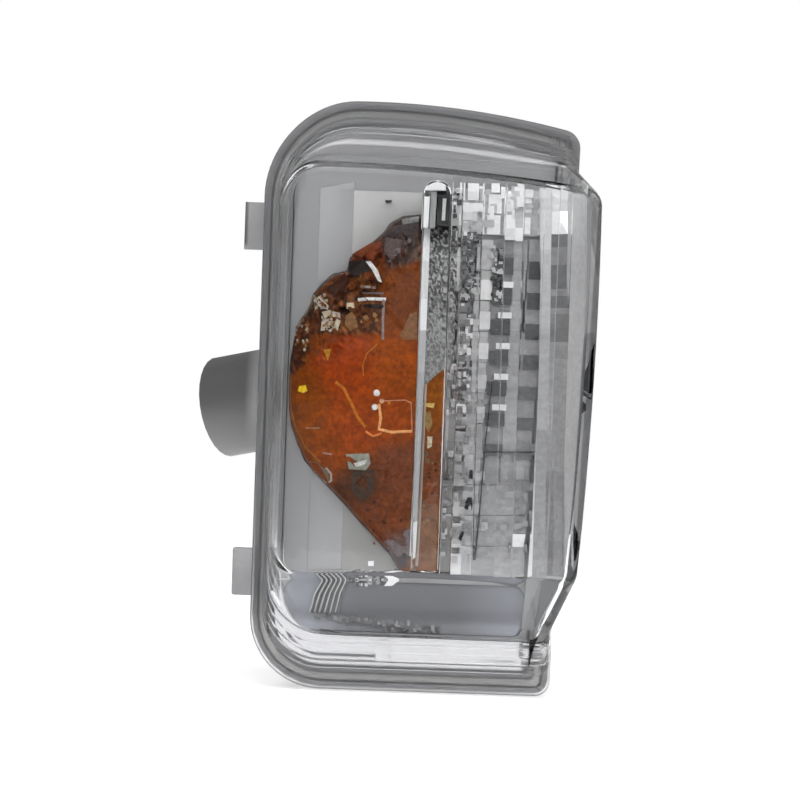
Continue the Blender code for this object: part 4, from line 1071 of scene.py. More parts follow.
# the tones are painted: painted shade in the dark cells, painted highlights in the white first rows
# left and right edge, first row's top, pitch and height in pixels, rows, shrink, tones, jitter,
# and the depth of the boxes
COLUMNS = (
    (453, 460, 196, 30.8, 30.4, 12, 0.0, 0.85, 0.66, 0.20, 1.4),
    (460, 475, 232, 6.2, 6.0, 22, 0.0, 0.18, 0.46, 0.32, 1.7),
    (460, 470, 370, 30.8, 24.0, 7, 0.0, 0.55, 0.72, 0.20, 1.6),
    (475, 491, 240, 30.8, 30.2, 11, 0.0, 0.68, 0.66, 0.06, 1.2),
    (483, 490, 280, 30.8, 20.0, 5, 0.4, 0.95, 0.72, 0.10, 1.5),
    (491, 511, 240, 30.8, 30.2, 11, 0.0, 0.44, 0.56, 0.08, 1.2),
    (492, 511, 258, 30.8, 17.0, 7, 0.3, 0.20, 0.30, 0.08, 1.9),
    (497, 511, 282, 30.8, 6.0, 5, 0.0, 1.00, 0.95, 0.00, 2.1),
    (511, 525, 240, 30.8, 30.5, 11, 0.0, 0.62, 0.60, 0.05, 1.3),
    (526, 539, 240, 30.8, 30.5, 11, 0.0, 0.60, 0.62, 0.05, 1.3),
    (526, 539, 262, 30.8, 18.0, 8, 0.45, 0.20, 0.42, 0.06, 1.9),
    (461, 549, 190, 46.0, 46.0, 1, 0.0, 0.76, 0.76, 0.00, 1.2),
    (458, 465, 183, 52.0, 51.0, 1, 0.0, 1.00, 1.00, 0.00, 1.8),
    (467, 477, 184, 21.0, 17.0, 2, 0.0, 0.95, 0.80, 0.20, 1.9),
    (487, 499, 195, 21.0, 19.0, 2, 0.0, 1.00, 1.00, 0.00, 1.7),
    (505, 512, 197, 40.0, 40.0, 1, 0.0, 1.00, 1.00, 0.00, 1.6),
    (519, 529, 196, 22.0, 17.0, 2, 0.0, 1.00, 0.98, 0.00, 1.6),
)


def column_mesh(number, column):
    """One column of cells behind the flutes."""
    left, right, top, pitch, height, rows, shrink, upper, lower, jitter, depth = column
    x, z = seen((left + right) / 2, top + height / 2, BEZEL_FRONT)
    return grown(cells, f"column_{number}", Rows=rows, Pitch=pitch * PIXEL, Lean=LEAN,
                 Width=(right - left) * PIXEL, Height=height * PIXEL, Shrink=shrink,
                 Depth=2 * depth / 1000, Tone_Top=upper, Tone_Bottom=lower, Jitter=jitter,
                 Seed=number, Place=(x, -BEZEL_FRONT, z), Material=cell_finish)


columns = [column_mesh(i, c) for i, c in enumerate(COLUMNS)]
print("columns:", len(columns), "with", sum(c[5] for c in COLUMNS), "cells")

# %% [markdown]
# ## Side panel
# At the right the reflector bends forward and runs up along the lens's inner wall. It could be
# one flat strip, but the wall leans and curves, so the panel is lofted through rows that follow
# the wall at five heights, and its cells lie on the surface that the rows define.

# %% Side panel
# height, and the lens's inner right wall there: its foot and its front edge
WALL_LINE = ((0.0425, 0.0287, 0.0322), (0.0200, 0.0281, 0.0328), (0.0, 0.0275, 0.0322),
             (-0.0180, 0.0270, 0.0317), (-0.0350, 0.0265, 0.0304))
PANEL_LEFT, PANEL_BACK, PANEL_FOOT, PANEL_TOP = 0.0250, 0.0292, 0.0341, 0.0430
PANEL_SKIN = 0.0002
# painted reflections: the tones of the panel and its skirt, like the cells'
PANEL_TONE, SKIRT_TONE = 0.88, 0.52
SKIRT_BOTTOM, SKIRT_TOP_LEFT = -0.0455, 0.0236
# x and depth of the skirt's lower edge
SKIRT_LINE = ((0.0230, PANEL_BACK), (0.0258, PANEL_BACK), (0.0262, 0.0331), (0.0254, 0.0330),
              (0.0230, 0.0312))


def wall_at(z):
    """Foot and front edge of the lens's inner right wall at a height."""
    for (upper, *first), (lower, *second) in zip(WALL_LINE, WALL_LINE[1:]):
        if z >= lower or lower == WALL_LINE[-1][0]:
            share = min(max((upper - z) / (upper - lower), 0.0), 1.0)
            return [a + (b - a) * share for a, b in zip(first, second)]


def panel_depth(x, z):
    """Depth of the panel's surface: a flat foot, then a slope up the lens's right wall."""
    low, high = wall_at(z)
    return PANEL_FOOT + (PANEL_TOP - PANEL_FOOT) * max(0.0, x - low) / (high - low)


def toned(mesh, tone):
    """Give a whole mesh one tone and the cells' finish."""
    layer = mesh.attributes.new("tone", "FLOAT", "POINT")
    layer.data.foreach_set("value", [tone] * len(mesh.vertices))
    mesh.materials.append(cell_finish)
    return mesh


def row_at(z, line):
    """Row of points at one height, from their x and depth."""
    return [Vector((x, -depth, z)) for x, depth in line]


rows = []
for z, low, high in WALL_LINE:
    left = PANEL_LEFT + (z - WALL_LINE[0][0]) * -LEAN
    rows.append(row_at(z, (
        (left, PANEL_BACK), (low, PANEL_BACK), (low + 0.0003, PANEL_FOOT - 0.0008),
        (high + 0.0002, PANEL_TOP - 0.0004), (high, PANEL_TOP), (low, PANEL_FOOT),
        (left, PANEL_FOOT))))
panel = toned(loft("side_panel", rows), PANEL_TONE)
# below the window the panel narrows with the lens's lower slope
corner_z, low, high = WALL_LINE[-1]
corner = ((SKIRT_TOP_LEFT, PANEL_BACK), (low, PANEL_BACK), (high, PANEL_TOP), (low, PANEL_FOOT),
          (SKIRT_TOP_LEFT, PANEL_FOOT))
skirt = toned(loft("panel_skirt", [row_at(corner_z, corner), row_at(SKIRT_BOTTOM, SKIRT_LINE)]),
              SKIRT_TONE)
print("side panel:", len(panel.polygons) + len(skirt.polygons), "faces")

# %% [markdown]
# ## Cells of the side panel
# The panel's cells have no even pitch: they are the reflections of the columns, squeezed by the
# slope. Two rows of thin plates follow the panel's depth, and a plain ridge covers the joint
# between the panel and the columns.

# %% Cells of the side panel
# top in pixels and tone of each cell; the last one only ends the row
SIDE_CELLS = ((211, 1.0), (234, 0.40), (247, 0.54), (265, 0.42), (289, 0.60), (296, 0.44),
              (308, 0.62), (314, 0.52), (328, 0.48), (342, 0.66), (346, 0.62), (359, 0.66),
              (388, 0.67), (431, 0.68), (471, 0.63), (501, 0.66), (540, 0.62), (575, None))
# left and right edge in pixels, and how much lighter or darker the row is
CELL_ROWS = ((548.5, 557.5, -0.04), (557.5, 568.0, 0.03))
CELL_SIGHT = 0.0350
# left and right edge in pixels, back and front
RIDGE = (540.5, 552.5, 0.0339, 0.0345)
# top, bottom and tone of each stretch of the ridge
RIDGE_TONES = ((188, 250, 0.80), (250, 330, 0.74), (330, 430, 0.68), (430, 577, 0.62))
CELL_LEAN, RIDGE_LEAN = 0.012, 0.014


def leaning_places(left, right, top, bottom, lean, depth):
    """(x, z) corners of a strip in the picture that leans to the left on its way down."""
    return [seen(across - down * lean, down, depth) for across, down in (
        (left, top), (right, top), (right, bottom), (left, bottom))]


side_cells = [skirt]
for (top, tone), (bottom, _) in zip(SIDE_CELLS, SIDE_CELLS[1:]):
    for left, right, shift in CELL_ROWS:
        ends = leaning_places(left, right, top, bottom, CELL_LEAN, CELL_SIGHT)
        side_cells.append(toned(loft("side_cell", [
            [Vector((x, -panel_depth(x, z) - rise, z)) for x, z in ends]
            for rise in (-PANEL_SKIN, PANEL_SKIN)]), tone + shift))
for top, bottom, tone in RIDGE_TONES:
    ends = leaning_places(*RIDGE[:2], top, bottom, RIDGE_LEAN, RIDGE[3])
    side_cells.append(toned(plate_mesh("ridge", ends, *RIDGE[2:], RAISED_ROUND), tone))
print("cells of the side panel:", len(side_cells) - 1)

# %% [markdown]
# ## Speckles
# Where the steps are too small to tell apart, the reflector is a scatter of bright and dark specks,
# which are painted reflections. A texture could paint them, but they would lie flat. Small boxes
# strewn over a patch stand out one by one, each in its painted tone, and a fixed seed strews them
# the same way each time.

# %% Speckles
BRIGHT, LIGHT, MIDDLE, DEEP = 1.0, 0.78, 0.5, 0.12
# half a speck's width and height as shares of its size, and how far it may stand out
SPECK_WIDE, SPECK_TALL, SPECK_LIFT = (0.3, 0.8), (0.3, 1.1), (0.0, 0.0003)
# seed, corners of the patch in pixels, count, size, tones, and the boxes' back and front
SPECKLES = (
    (11, [(461, 234), (476, 234), (474, 302), (460, 302)], 150, 2.4,
     (DEEP, 0.3, 0.3, MIDDLE, LIGHT), 0.0300, 0.0312),
    (12, [(460, 302), (472, 302), (468, 420), (457, 420)], 90, 3.4,
     (LIGHT, MIDDLE, 0.3, 0.65, BRIGHT), 0.0300, 0.0312),
    (13, [(491, 242), (503, 242), (500, 300), (490, 300)], 70, 2.4,
     (DEEP, 0.3, MIDDLE, LIGHT), 0.0300, 0.0316),
    (14, [(452, 190), (459, 190), (452, 420), (445, 420)], 90, 2.8,
     (BRIGHT, LIGHT, LIGHT, MIDDLE, 0.25), 0.0300, 0.0318),
    (15, [(448, 400), (453, 400), (444, 565), (439, 565)], 40, 3.0,
     (LIGHT, MIDDLE, 0.65), 0.0300, 0.0318),
    (16, [(460, 182), (548, 190), (548, 238), (460, 232)], 46, 6.5,
     (BRIGHT, BRIGHT, LIGHT, 0.9, 0.7), 0.0300, 0.0314),
    (17, [(457, 420), (470, 420), (463, 560), (451, 560)], 44, 4.2,
     (0.70, 0.60, 0.5, 0.66), 0.0300, 0.0312),
    (18, [(475, 400), (490, 400), (483, 560), (468, 560)], 24, 4.5,
     (0.66, 0.62, 0.70), 0.0300, 0.0311),
    (19, [(503, 440), (536, 440), (530, 560), (496, 560)], 34, 5.0,
     (0.50, 0.56, 0.62, 0.58), 0.0300, 0.0312),
    (21, [(352, 572), (395, 572), (388, 583), (350, 583)], 60, 2.6,
     (DEEP, MIDDLE, LIGHT, 0.3), 0.0280, 0.0295),
    (22, [(296, 613), (345, 616), (440, 624), (440, 633)], 90, 2.6,
     (DEEP, 0.3, MIDDLE, 0.3), 0.0280, 0.0294),
    (23, [(520, 640), (547, 642), (547, 662), (520, 662)], 30, 3.0,
     (LIGHT, MIDDLE, BRIGHT), 0.0300, 0.03075),
)


def speckles(seed, corners, count, size, tones, low, high):
    """Small boxes strewn over a four-sided patch of the picture, each with its own tone."""
    draw = random.Random(seed)
    sheet = bmesh.new()
    layer = sheet.verts.layers.float.new("tone")
    for _ in range(count):
        u, v = draw.random(), draw.random()
        across, down = ((corners[0][k] * (1 - u) + corners[1][k] * u) * (1 - v)
                        + (corners[3][k] * (1 - u) + corners[2][k] * u) * v for k in (0, 1))
        half, tall = size * draw.uniform(*SPECK_WIDE), size * draw.uniform(*SPECK_TALL)
        face_depth = high + draw.uniform(*SPECK_LIFT)
        tone = draw.choice(tones)
        places = ((-1, -1), (1, -1), (1, 1), (-1, 1))
        back, face = [[sheet.verts.new((x, -depth, z)) for x, z in
                       (seen(across + i * half, down + j * tall, depth) for i, j in places)]
                      for depth in (low, face_depth)]
        for point in back + face:
            point[layer] = tone
        sheet.faces.new(back)
        sheet.faces.new(face)
        for k in range(4):
            sheet.faces.new((back[k], back[k - 1], face[k - 1], face[k]))
    bmesh.ops.recalc_face_normals(sheet, faces=sheet.faces)
    mesh = mesh_from(f"speckles_{seed}", sheet)
    mesh.materials.append(cell_finish)
    return mesh


loose = [speckles(*row) for row in SPECKLES]
print("speckles:", sum(row[2] for row in SPECKLES))

# %% [markdown]
# ## Chips, lines and the fan
# A few marks are large enough to be seen one by one: dark notches of painted shade, pale squares of
# painted reflection, the bright line where the sill turns and other painted highlights, thin
# painted shadows, and a fan of ribs at the lower left. Each is a thin plate through places in the
# picture, so it can be set exactly where it shows.

# %% Chips, lines and the fan
CHIP_EDGE = 0.00008
MARK_FRONT = 0.0316
FAN_RIBS = 6
FAN_BACK, FAN_FRONT, FAN_LIGHT_FRONT = 0.0280, 0.0293, 0.0294


def flat_chip(name, places, tone, low=0.0290, high=0.0305):
    """Plate with its corners at places in the picture."""
    line = [seen(across, down, high) for across, down in places]
    return toned(plate_mesh(name, line, low, high, CHIP_EDGE), tone)


def across_line(places, i, width):
    """Half of a line's width at one of its points, square to its way."""
    ahead, behind = places[min(i + 1, len(places) - 1)], places[max(i - 1, 0)]
    along = Vector((ahead[0] - behind[0], ahead[1] - behind[1])).normalized()
    return Vector((-along.y, along.x)) * width / 2


def stripe(name, places, width, tone, low=0.0290, high=0.0308):
    """Narrow plate along places in the picture, as wide as its width in pixels."""
    sides = [across_line(places, i, width) for i in range(len(places))]
    line = [(across + side.x, down + side.y) for (across, down), side in zip(places, sides)]
    line += [(across - side.x, down - side.y)
             for (across, down), side in zip(places[::-1], sides[::-1])]
    return flat_chip(name, line, tone, low, high)


loose += [
    flat_chip("block_dark", [(544, 206), (552, 207), (552, 214), (544, 213)], DEEP),
    # painted shade: dark notches between the flutes
    flat_chip("mark_1", [(468, 470), (472, 469), (471, 478), (467, 479)], 0.02, high=MARK_FRONT),
    flat_chip("mark_2", [(466, 497), (469, 498), (466, 510), (463, 508)], 0.02, high=MARK_FRONT),
    flat_chip("mark_3", [(460, 531), (463, 532), (460, 541), (457, 539)], 0.02, high=MARK_FRONT),
    # painted reflections: pale squares
    flat_chip("pale_1", [(509, 534), (523, 534), (521, 547), (506, 547)], 0.95, high=MARK_FRONT),
    flat_chip("pale_2", [(528, 536), (536, 536), (535, 545), (526, 545)], 0.9, high=MARK_FRONT),
    stripe("slant", [(490, 383), (484, 440), (479, 500), (474, 560)], 1.0, 0.2, high=MARK_FRONT),
    stripe("cross", [(481, 452), (540, 452)], 1.0, 0.1, high=MARK_FRONT),
    # painted highlight where the sill turns, and a painted shadow beside it
    stripe("sill_line", [(272, 597), (280, 610), (292, 622), (310, 631), (345, 636), (425, 639),
                         (548, 645)], 2.4, BRIGHT),
    stripe("sill_shadow", [(320, 629), (345, 633), (425, 636), (548, 641)], 1.4, 0.15),
    # painted highlights on the sill
    flat_chip("sill_block", [(374, 641), (388, 640), (390, 665), (376, 666)], BRIGHT, high=0.0312),
    flat_chip("sill_right", [(390, 644), (545, 649), (545, 661), (390, 660)], 1.0, high=0.03072),
    # painted highlights: a gleam, and a line along the window's lower edge at the left, then a
    # painted shadow along the rest of that edge
    flat_chip("gleam", [(384, 584), (389, 577), (400, 573), (408, 573), (400, 578), (392, 584)],
              BRIGHT),
    stripe("window_line", [(272, 578), (300, 575), (346, 573)], 1.6, LIGHT),
    stripe("window_shadow", [(394, 571), (450, 573), (500, 578), (562, 584)], 1.4, 0.15),
]
for k in range(FAN_RIBS):
    top, bottom = 326 + 4.6 * k, 311 + 5.4 * k
    middle = (top + bottom) / 2
    loose.append(stripe(f"fan_{k}", [(top, 576), (middle - 1, 592), (bottom, 612)],
                        2.2 + 0.2 * k, 0.06 + 0.03 * k, FAN_BACK, FAN_FRONT))
    loose.append(stripe(f"fan_light_{k}", [(top - 2.6, 577), (middle - 3.6, 592),
                                           (bottom - 2.6, 611)],
                        1.2, LIGHT, FAN_BACK, FAN_LIGHT_FRONT))
print("loose pieces:", len(loose))

# %% [markdown]
# ## Stepped reflector in one piece
# On the lamp the columns, the panel and the marks are one moulding, so they are joined into one
# object, which keeps each cell's tone and finish.

# %% Stepped reflector in one piece
def joined(name, meshes):
    """One piece from several meshes, which keeps their finishes and attributes."""
    pieces = [put(f"{name}_{i}", mesh) for i, mesh in enumerate(meshes)]
    with bpy.context.temp_override(active_object=pieces[0], selected_editable_objects=pieces,
                                   object=pieces[0], selected_objects=pieces):
        bpy.ops.object.join()
    pieces[0].name = name
    return pieces[0]


stepped = joined("stepped_reflector", columns + [panel] + side_cells + loose)
print("stepped reflector:", len(stepped.data.polygons), "faces")

# %% [markdown]
# ## Amber filter
# The filter is a half dome of amber plastic with a D outline. It could be a squashed ball, but
# its foot has to follow the broken outline of the hole in the bezel. So the outline is shrunk
# ring by ring towards its straight right side, and the rings are lofted, outside and inside.

# %% Amber rings
SPRING, CREST = 0.0294, 0.04046
AMBER_SKIRT = 0.0262
AMBER_WALL, AMBER_HALF_WIDTH = 0.0015, 0.033
DOME_POWER = 0.8
RING_COUNT, RING_CROWDING = 44, 1.15
AMBER_SPACING = 0.0007


def dome_row(turn, wall):
    """One ring of the dome, at an angle from its foot to its crest."""
    share, rise = max(math.cos(turn), 0.0) ** DOME_POWER, math.sin(turn) ** DOME_POWER
    scale = share * (1 - 2 * wall / AMBER_HALF_WIDTH)
    depth = SPRING + (CREST - SPRING) * rise - wall
    return [Vector((AMBER_RIGHT - wall + (x - AMBER_RIGHT) * scale, -depth,
                    AMBER_MIDDLE + (z - AMBER_MIDDLE) * scale))
            for x, z in amber_points(spacing=AMBER_SPACING)]


def skirt_row(depth, wall):
    """One ring of the straight skirt behind the bezel."""
    return [Vector((point.x, -depth, point.z)) for point in dome_row(0.0, wall)]


turns = [math.pi / 2 * (k / RING_COUNT) ** RING_CROWDING for k in range(RING_COUNT)]
outer = [dome_row(turn, 0.0) for turn in turns]
inner = [dome_row(turn, AMBER_WALL) for turn in turns[::4]]
crest_in = Vector((AMBER_RIGHT - AMBER_WALL, -CREST + AMBER_WALL, AMBER_MIDDLE))
crest_out = Vector((AMBER_RIGHT, -CREST, AMBER_MIDDLE))
amber_rows = inner[::-1] + [skirt_row(AMBER_SKIRT, AMBER_WALL), skirt_row(AMBER_SKIRT, 0.0)]
amber_mesh = loft("amber_dome", amber_rows + outer, crest_in, crest_out)
print("amber dome:", len(amber_mesh.polygons), "faces")

# %% [markdown]
# ## Facets
# The upper left of the dome is cut into prisms, and its middle is smooth. A facet is a flat
# tilted plane, so a cell pattern moves each point by the tilt of the cell that it lies in. The
# facets fade out round a few places in the picture.

# %% Facets
DOME_SIGHT = 0.036
FADE = 1.3
EDGE_OF_REACH = 0.05
TILT_KEY, TILT_FADE, TILT_GAIN, LIFT_GAIN = 7.3, 0.4, 1.2, 0.5
# a place in the picture, a reach in pixels, the facets' size and their tilt
FACETS = ((318, 318, 26, 1.7, 0.9), (352, 285, 28, 2.4, 1.0), (400, 232, 26, 2.0, 0.9),
          (365, 250, 20, 2.4, 0.9), (330, 345, 14, 1.6, 0.4), (355, 470, 16, 2.6, 0.35),
          (395, 500, 26, 2.2, 0.25))


def falloff(x, z, across, down, reach):
    """How near a point is to a place in the picture, from 0 to 1."""
    there = seen(across, down, DOME_SIGHT)
    gap = math.hypot(x - there[0], z - there[1]) / (reach * PICTURE / PIXELS)
    return math.exp(-gap * gap * FADE)


def facet_rise(point):
    """How far the facets lift or sink a point of the dome."""
    total = 0.0
    for across, down, reach, size, tilt in FACETS:
        near = falloff(point.x, point.z, across, down, reach)
        if near > EDGE_OF_REACH:
            place = Vector((point.x, 0.0, point.z)) * 1000 / size + Vector((across, 0, down))
            middle = noise.voronoi(place)[1][0]
            lean = noise.cell_vector(middle * TILT_KEY) - Vector((0.5, 0.5, 0.5))
            total += near ** TILT_FADE * tilt * size / 1000 * (
                (place - middle).dot(lean) * TILT_GAIN + lean.y * LIFT_GAIN)
    return total


print("facet zones:", len(FACETS))

# %% [markdown]
# ## Tints
# The amber isn't one colour, and much of its change is painted light and shade: a painted glow in
# the middle, and painted shade that turns it brown at its edges and nearly black in its prisms. A
# few places in the picture each gather their colour round them, and three patches are filled with
# crystals of two colours with hard edges.

# %% Tints
BASE_TINT, BASE_WEIGHT = (0.22, 0.055, 0.008), 0.02
# noise across and down the dome with its share of the tint: long streaks, then even clouds
STREAKS, CLOUDS = (160, 3.0, 900, 3, 0.18), (500, 9.0, 500, 4, 0.30)
CRYSTAL_KEY = 4.3
# painted light and shade: the glow in the middle and the browns and near blacks towards the edges
# a place in the picture, a reach in pixels and a colour that gathers there
TINTS = ((300, 395, 24, (0.200, 0.044, 0.002)), (312, 425, 22, (0.250, 0.052, 0.002)),
         (345, 365, 24, (0.300, 0.038, 0.001)), (350, 420, 26, (0.300, 0.046, 0.002)),
         (395, 365, 22, (0.320, 0.060, 0.004)), (398, 415, 20, (0.300, 0.052, 0.004)),
         (400, 290, 28, (0.165, 0.036, 0.003)), (345, 285, 24, (0.095, 0.020, 0.004)),
         (312, 335, 18, (0.150, 0.034, 0.003)), (395, 230, 20, (0.050, 0.030, 0.026)),
         (368, 250, 14, (0.200, 0.044, 0.014)), (360, 485, 18, (0.080, 0.026, 0.010)),
         (330, 455, 16, (0.240, 0.048, 0.004)), (398, 470, 20, (0.160, 0.044, 0.016)),
         (380, 520, 22, (0.180, 0.046, 0.014)), (398, 548, 12, (0.130, 0.090, 0.085)),
         (438, 470, 26, (0.190, 0.056, 0.018)), (435, 400, 18, (0.260, 0.070, 0.005)),
         (434, 535, 20, (0.200, 0.080, 0.026)))
# corners in the picture, the two colours of its crystals, and their size
PATCHES = (([(312, 334), (384, 335), (384, 303), (376, 284), (348, 262), (344, 273), (325, 284),
             (312, 297), (300, 320)], (0.050, 0.013, 0.004), (0.230, 0.075, 0.020), 1.1),
           ([(300, 320), (312, 334), (308, 362), (294, 372), (280, 374), (284, 345)],
            (0.040, 0.012, 0.004), (0.190, 0.052, 0.012), 1.0),
           ([(383, 222), (420, 216), (420, 262), (388, 268), (383, 250)], (0.035, 0.024, 0.020),
            (0.150, 0.085, 0.060), 1.0))


def inside_line(x, z, corners):
    """Whether a point lies inside a closed line."""
    crossings = 0
    for (ax, az), (bx, bz) in zip(corners, corners[1:] + corners[:1]):
        if (az > z) != (bz > z) and x < ax + (z - az) / (bz - az) * (bx - ax):
            crossings += 1
    return crossings % 2 == 1


ROOMS = [([seen(*corner, DOME_SIGHT) for corner in corners], dark, light, size)
         for corners, dark, light, size in PATCHES]


def tint_noise(x, z, wide, layer, tall, octaves, share):
    """How much one kind of noise adds to the tint at a place."""
    return share * noise.fractal(Vector((x * wide, layer, z * tall)), 1.0, 2.0, octaves)


def tint_at(x, z):
    """Colour of the amber at a place, gathered from the places near it."""
    weight, colour = BASE_WEIGHT, Vector(BASE_TINT) * BASE_WEIGHT
    for across, down, reach, shade in TINTS:
        near = falloff(x, z, across, down, reach)
        weight += near
        colour += Vector(shade) * near
    colour = colour / weight
    for corners, dark, light, size in ROOMS:
        if inside_line(x, z, corners):
            cell = noise.voronoi(Vector((x, 0.0, z)) * 1000 / size)[1][0]
            colour = Vector(dark).lerp(Vector(light), noise.cell(cell * CRYSTAL_KEY) ** 2)
    return colour * (1.0 + tint_noise(x, z, *STREAKS) + tint_noise(x, z, *CLOUDS))


print("tint zones:", len(TINTS), "crystal patches:", len(PATCHES))

# %% [markdown]
# ## Facets and tints on the dome
# Both are now put on the dome's outer points. A lifted facet faces the light, so it is also painted
# a little brighter, as painted light: real prisms brighten more strongly than moved points alone
# would show.

# %% Facets and tints on the dome
FACET_LOW, FACET_HIGH = -0.0012, 0.0009
# painted light: how much a lifted facet's colour is brightened
FACET_GAIN, LEAST_GAIN, MOST_GAIN = 900, 0.25, 2.2
GLINT_CELLS = 900
DOME_START, DOME_END = SPRING + 0.0004, 0.0058

sheet = bmesh.new()
sheet.from_mesh(amber_mesh)
tint = sheet.verts.layers.float_color.new("tint")
sheet.normal_update()
for point in sheet.verts:
    outer_face = -point.co.y > DOME_START and point.normal.y < 0.1 and point.co.x < DOME_END
    colour = tint_at(point.co.x, point.co.z)
    if outer_face:
        rise = facet_rise(point.co)
        point.co += Vector((0, -1, 0)) * min(max(rise, FACET_LOW), FACET_HIGH)
        gain = 1.0 + FACET_GAIN * rise * (0.5 + noise.cell(point.co * GLINT_CELLS))
        colour = colour * min(max(gain, LEAST_GAIN), MOST_GAIN)
    point[tint] = (*colour, 1.0)
sheet.to_mesh(amber_mesh)
sheet.free()
print("points of the dome:", len(amber_mesh.vertices))

# %% [markdown]
# ## Ribs, chips and dots
# Ribs, raised facets and small knobs are moulded on the dome. They could be cut into it by
# booleans, but dozens of cuts on a faceted surface are slow and fragile. Each is a small closed
# mesh instead, whose points are dropped on the dome under their places in the picture.

# %% Ribs, chips and dots
RIB_STEP = 3
DOT_SIDES = 12
surface = bvhtree.BVHTree.FromPolygons([v.co for v in amber_mesh.vertices],
                                       [p.vertices for p in amber_mesh.polygons])


def dome_hit(x, z):
    """Point where a straight look from the front meets the dome, or None."""
    return surface.ray_cast(Vector((x, -0.1, z)), Vector((0, 1, 0)))[0]


def on_dome(across, down, lift=0.0):
    """Point on the dome under a place in the picture."""
    x, z = seen(across, down, DOME_SIGHT)
    return (dome_hit(x, z) or Vector((x, -SPRING, z))) + Vector((0, -lift, 0))


def tinted(mesh, colour):
    """Give a whole mesh one tint."""
    layer = mesh.attributes.get("tint") or mesh.attributes.new("tint", "FLOAT_COLOR", "POINT")
    for item in layer.data:
        item.color = (*colour, 1.0)
    return mesh


def ribbon(name, places, width, colour, lift=0.00025):
    """Raised rib along places in the picture, as wide as its width in pixels."""
    points = []
    for (a, b), (c, d) in zip(places, places[1:]):
        count = max(1, round(math.hypot(c - a, d - b) / RIB_STEP))
        points += [(a + (c - a) * k / count, b + (d - b) * k / count) for k in range(count)]
    points.append(places[-1])
    up = Vector((0, -lift, 0))
    rows = []
    for i, (across, down) in enumerate(points):
        side = across_line(points, i, width)
        left = on_dome(across + side.x, down + side.y)
        right = on_dome(across - side.x, down - side.y)
        rows.append([left - up, left + up * 0.6, (left + right) / 2 + up, right + up * 0.6,
                     right - up])
    return tinted(loft(name, rows), colour)


def chip(name, places, colour, lift=0.0003, flat=False):
    """Raised facet with its corners at places in the picture, on the dome or flat over it."""
    top = [on_dome(across, down, lift) for across, down in places]
    low = [on_dome(across, down, -lift) for across, down in places]
    if flat:
        across, down = (sum(place[k] for place in places) / len(places) for k in (0, 1))
        crest = min(point.y for point in top + [on_dome(across, down, lift)])
        tilt = 0.4 * (top[0].y - crest) / max(len(places), 1)
        top = [Vector((point.x, crest + tilt * k, point.z)) for k, point in enumerate(top)]
    return tinted(loft(name, [low, top]), colour)


def dot(name, across, down, radius, colour, lift=0.0004):
    """Small round knob."""
    turns = [math.tau * k / DOT_SIDES for k in range(DOT_SIDES)]
    rows = []
    for share, rise in ((1.0, -lift), (1.0, 0.0), (0.8, lift * 0.6), (0.4, lift)):
        size = radius * share * PICTURE / PIXELS
        rows.append([on_dome(across, down, rise)
                     + Vector((size * math.cos(turn), 0, size * math.sin(turn)))
                     for turn in turns])
    return tinted(loft(name, rows), colour)


print("dome's middle at depth", round(-on_dome(400, 400).y * 1000, 1), "mm")

# %% [markdown]
# ## Details at the upper left
# The prisms there are the most broken part of the filter: dark facets of painted shade, white ribs
# and a white streak of painted highlight, and pale shards along the edge, which are painted glints.
# Their colours have names, so a colour is changed in one place.

# %% Details at the upper left
WHITE, PALE, CREAM, TAN = (0.85, 0.84, 0.82), (0.42, 0.36, 0.31), (0.52, 0.45, 0.33), \
    (0.30, 0.15, 0.06)
YELLOW, GLOW, RUST, BROWN = (0.80, 0.52, 0.02), (0.62, 0.22, 0.03), (0.20, 0.050, 0.010), \
    (0.060, 0.020, 0.008)
DARK, SMOKE, MAUVE = (0.022, 0.014, 0.012), (0.12, 0.085, 0.080), (0.20, 0.16, 0.16)
FLAT_LIFT = 0.0002

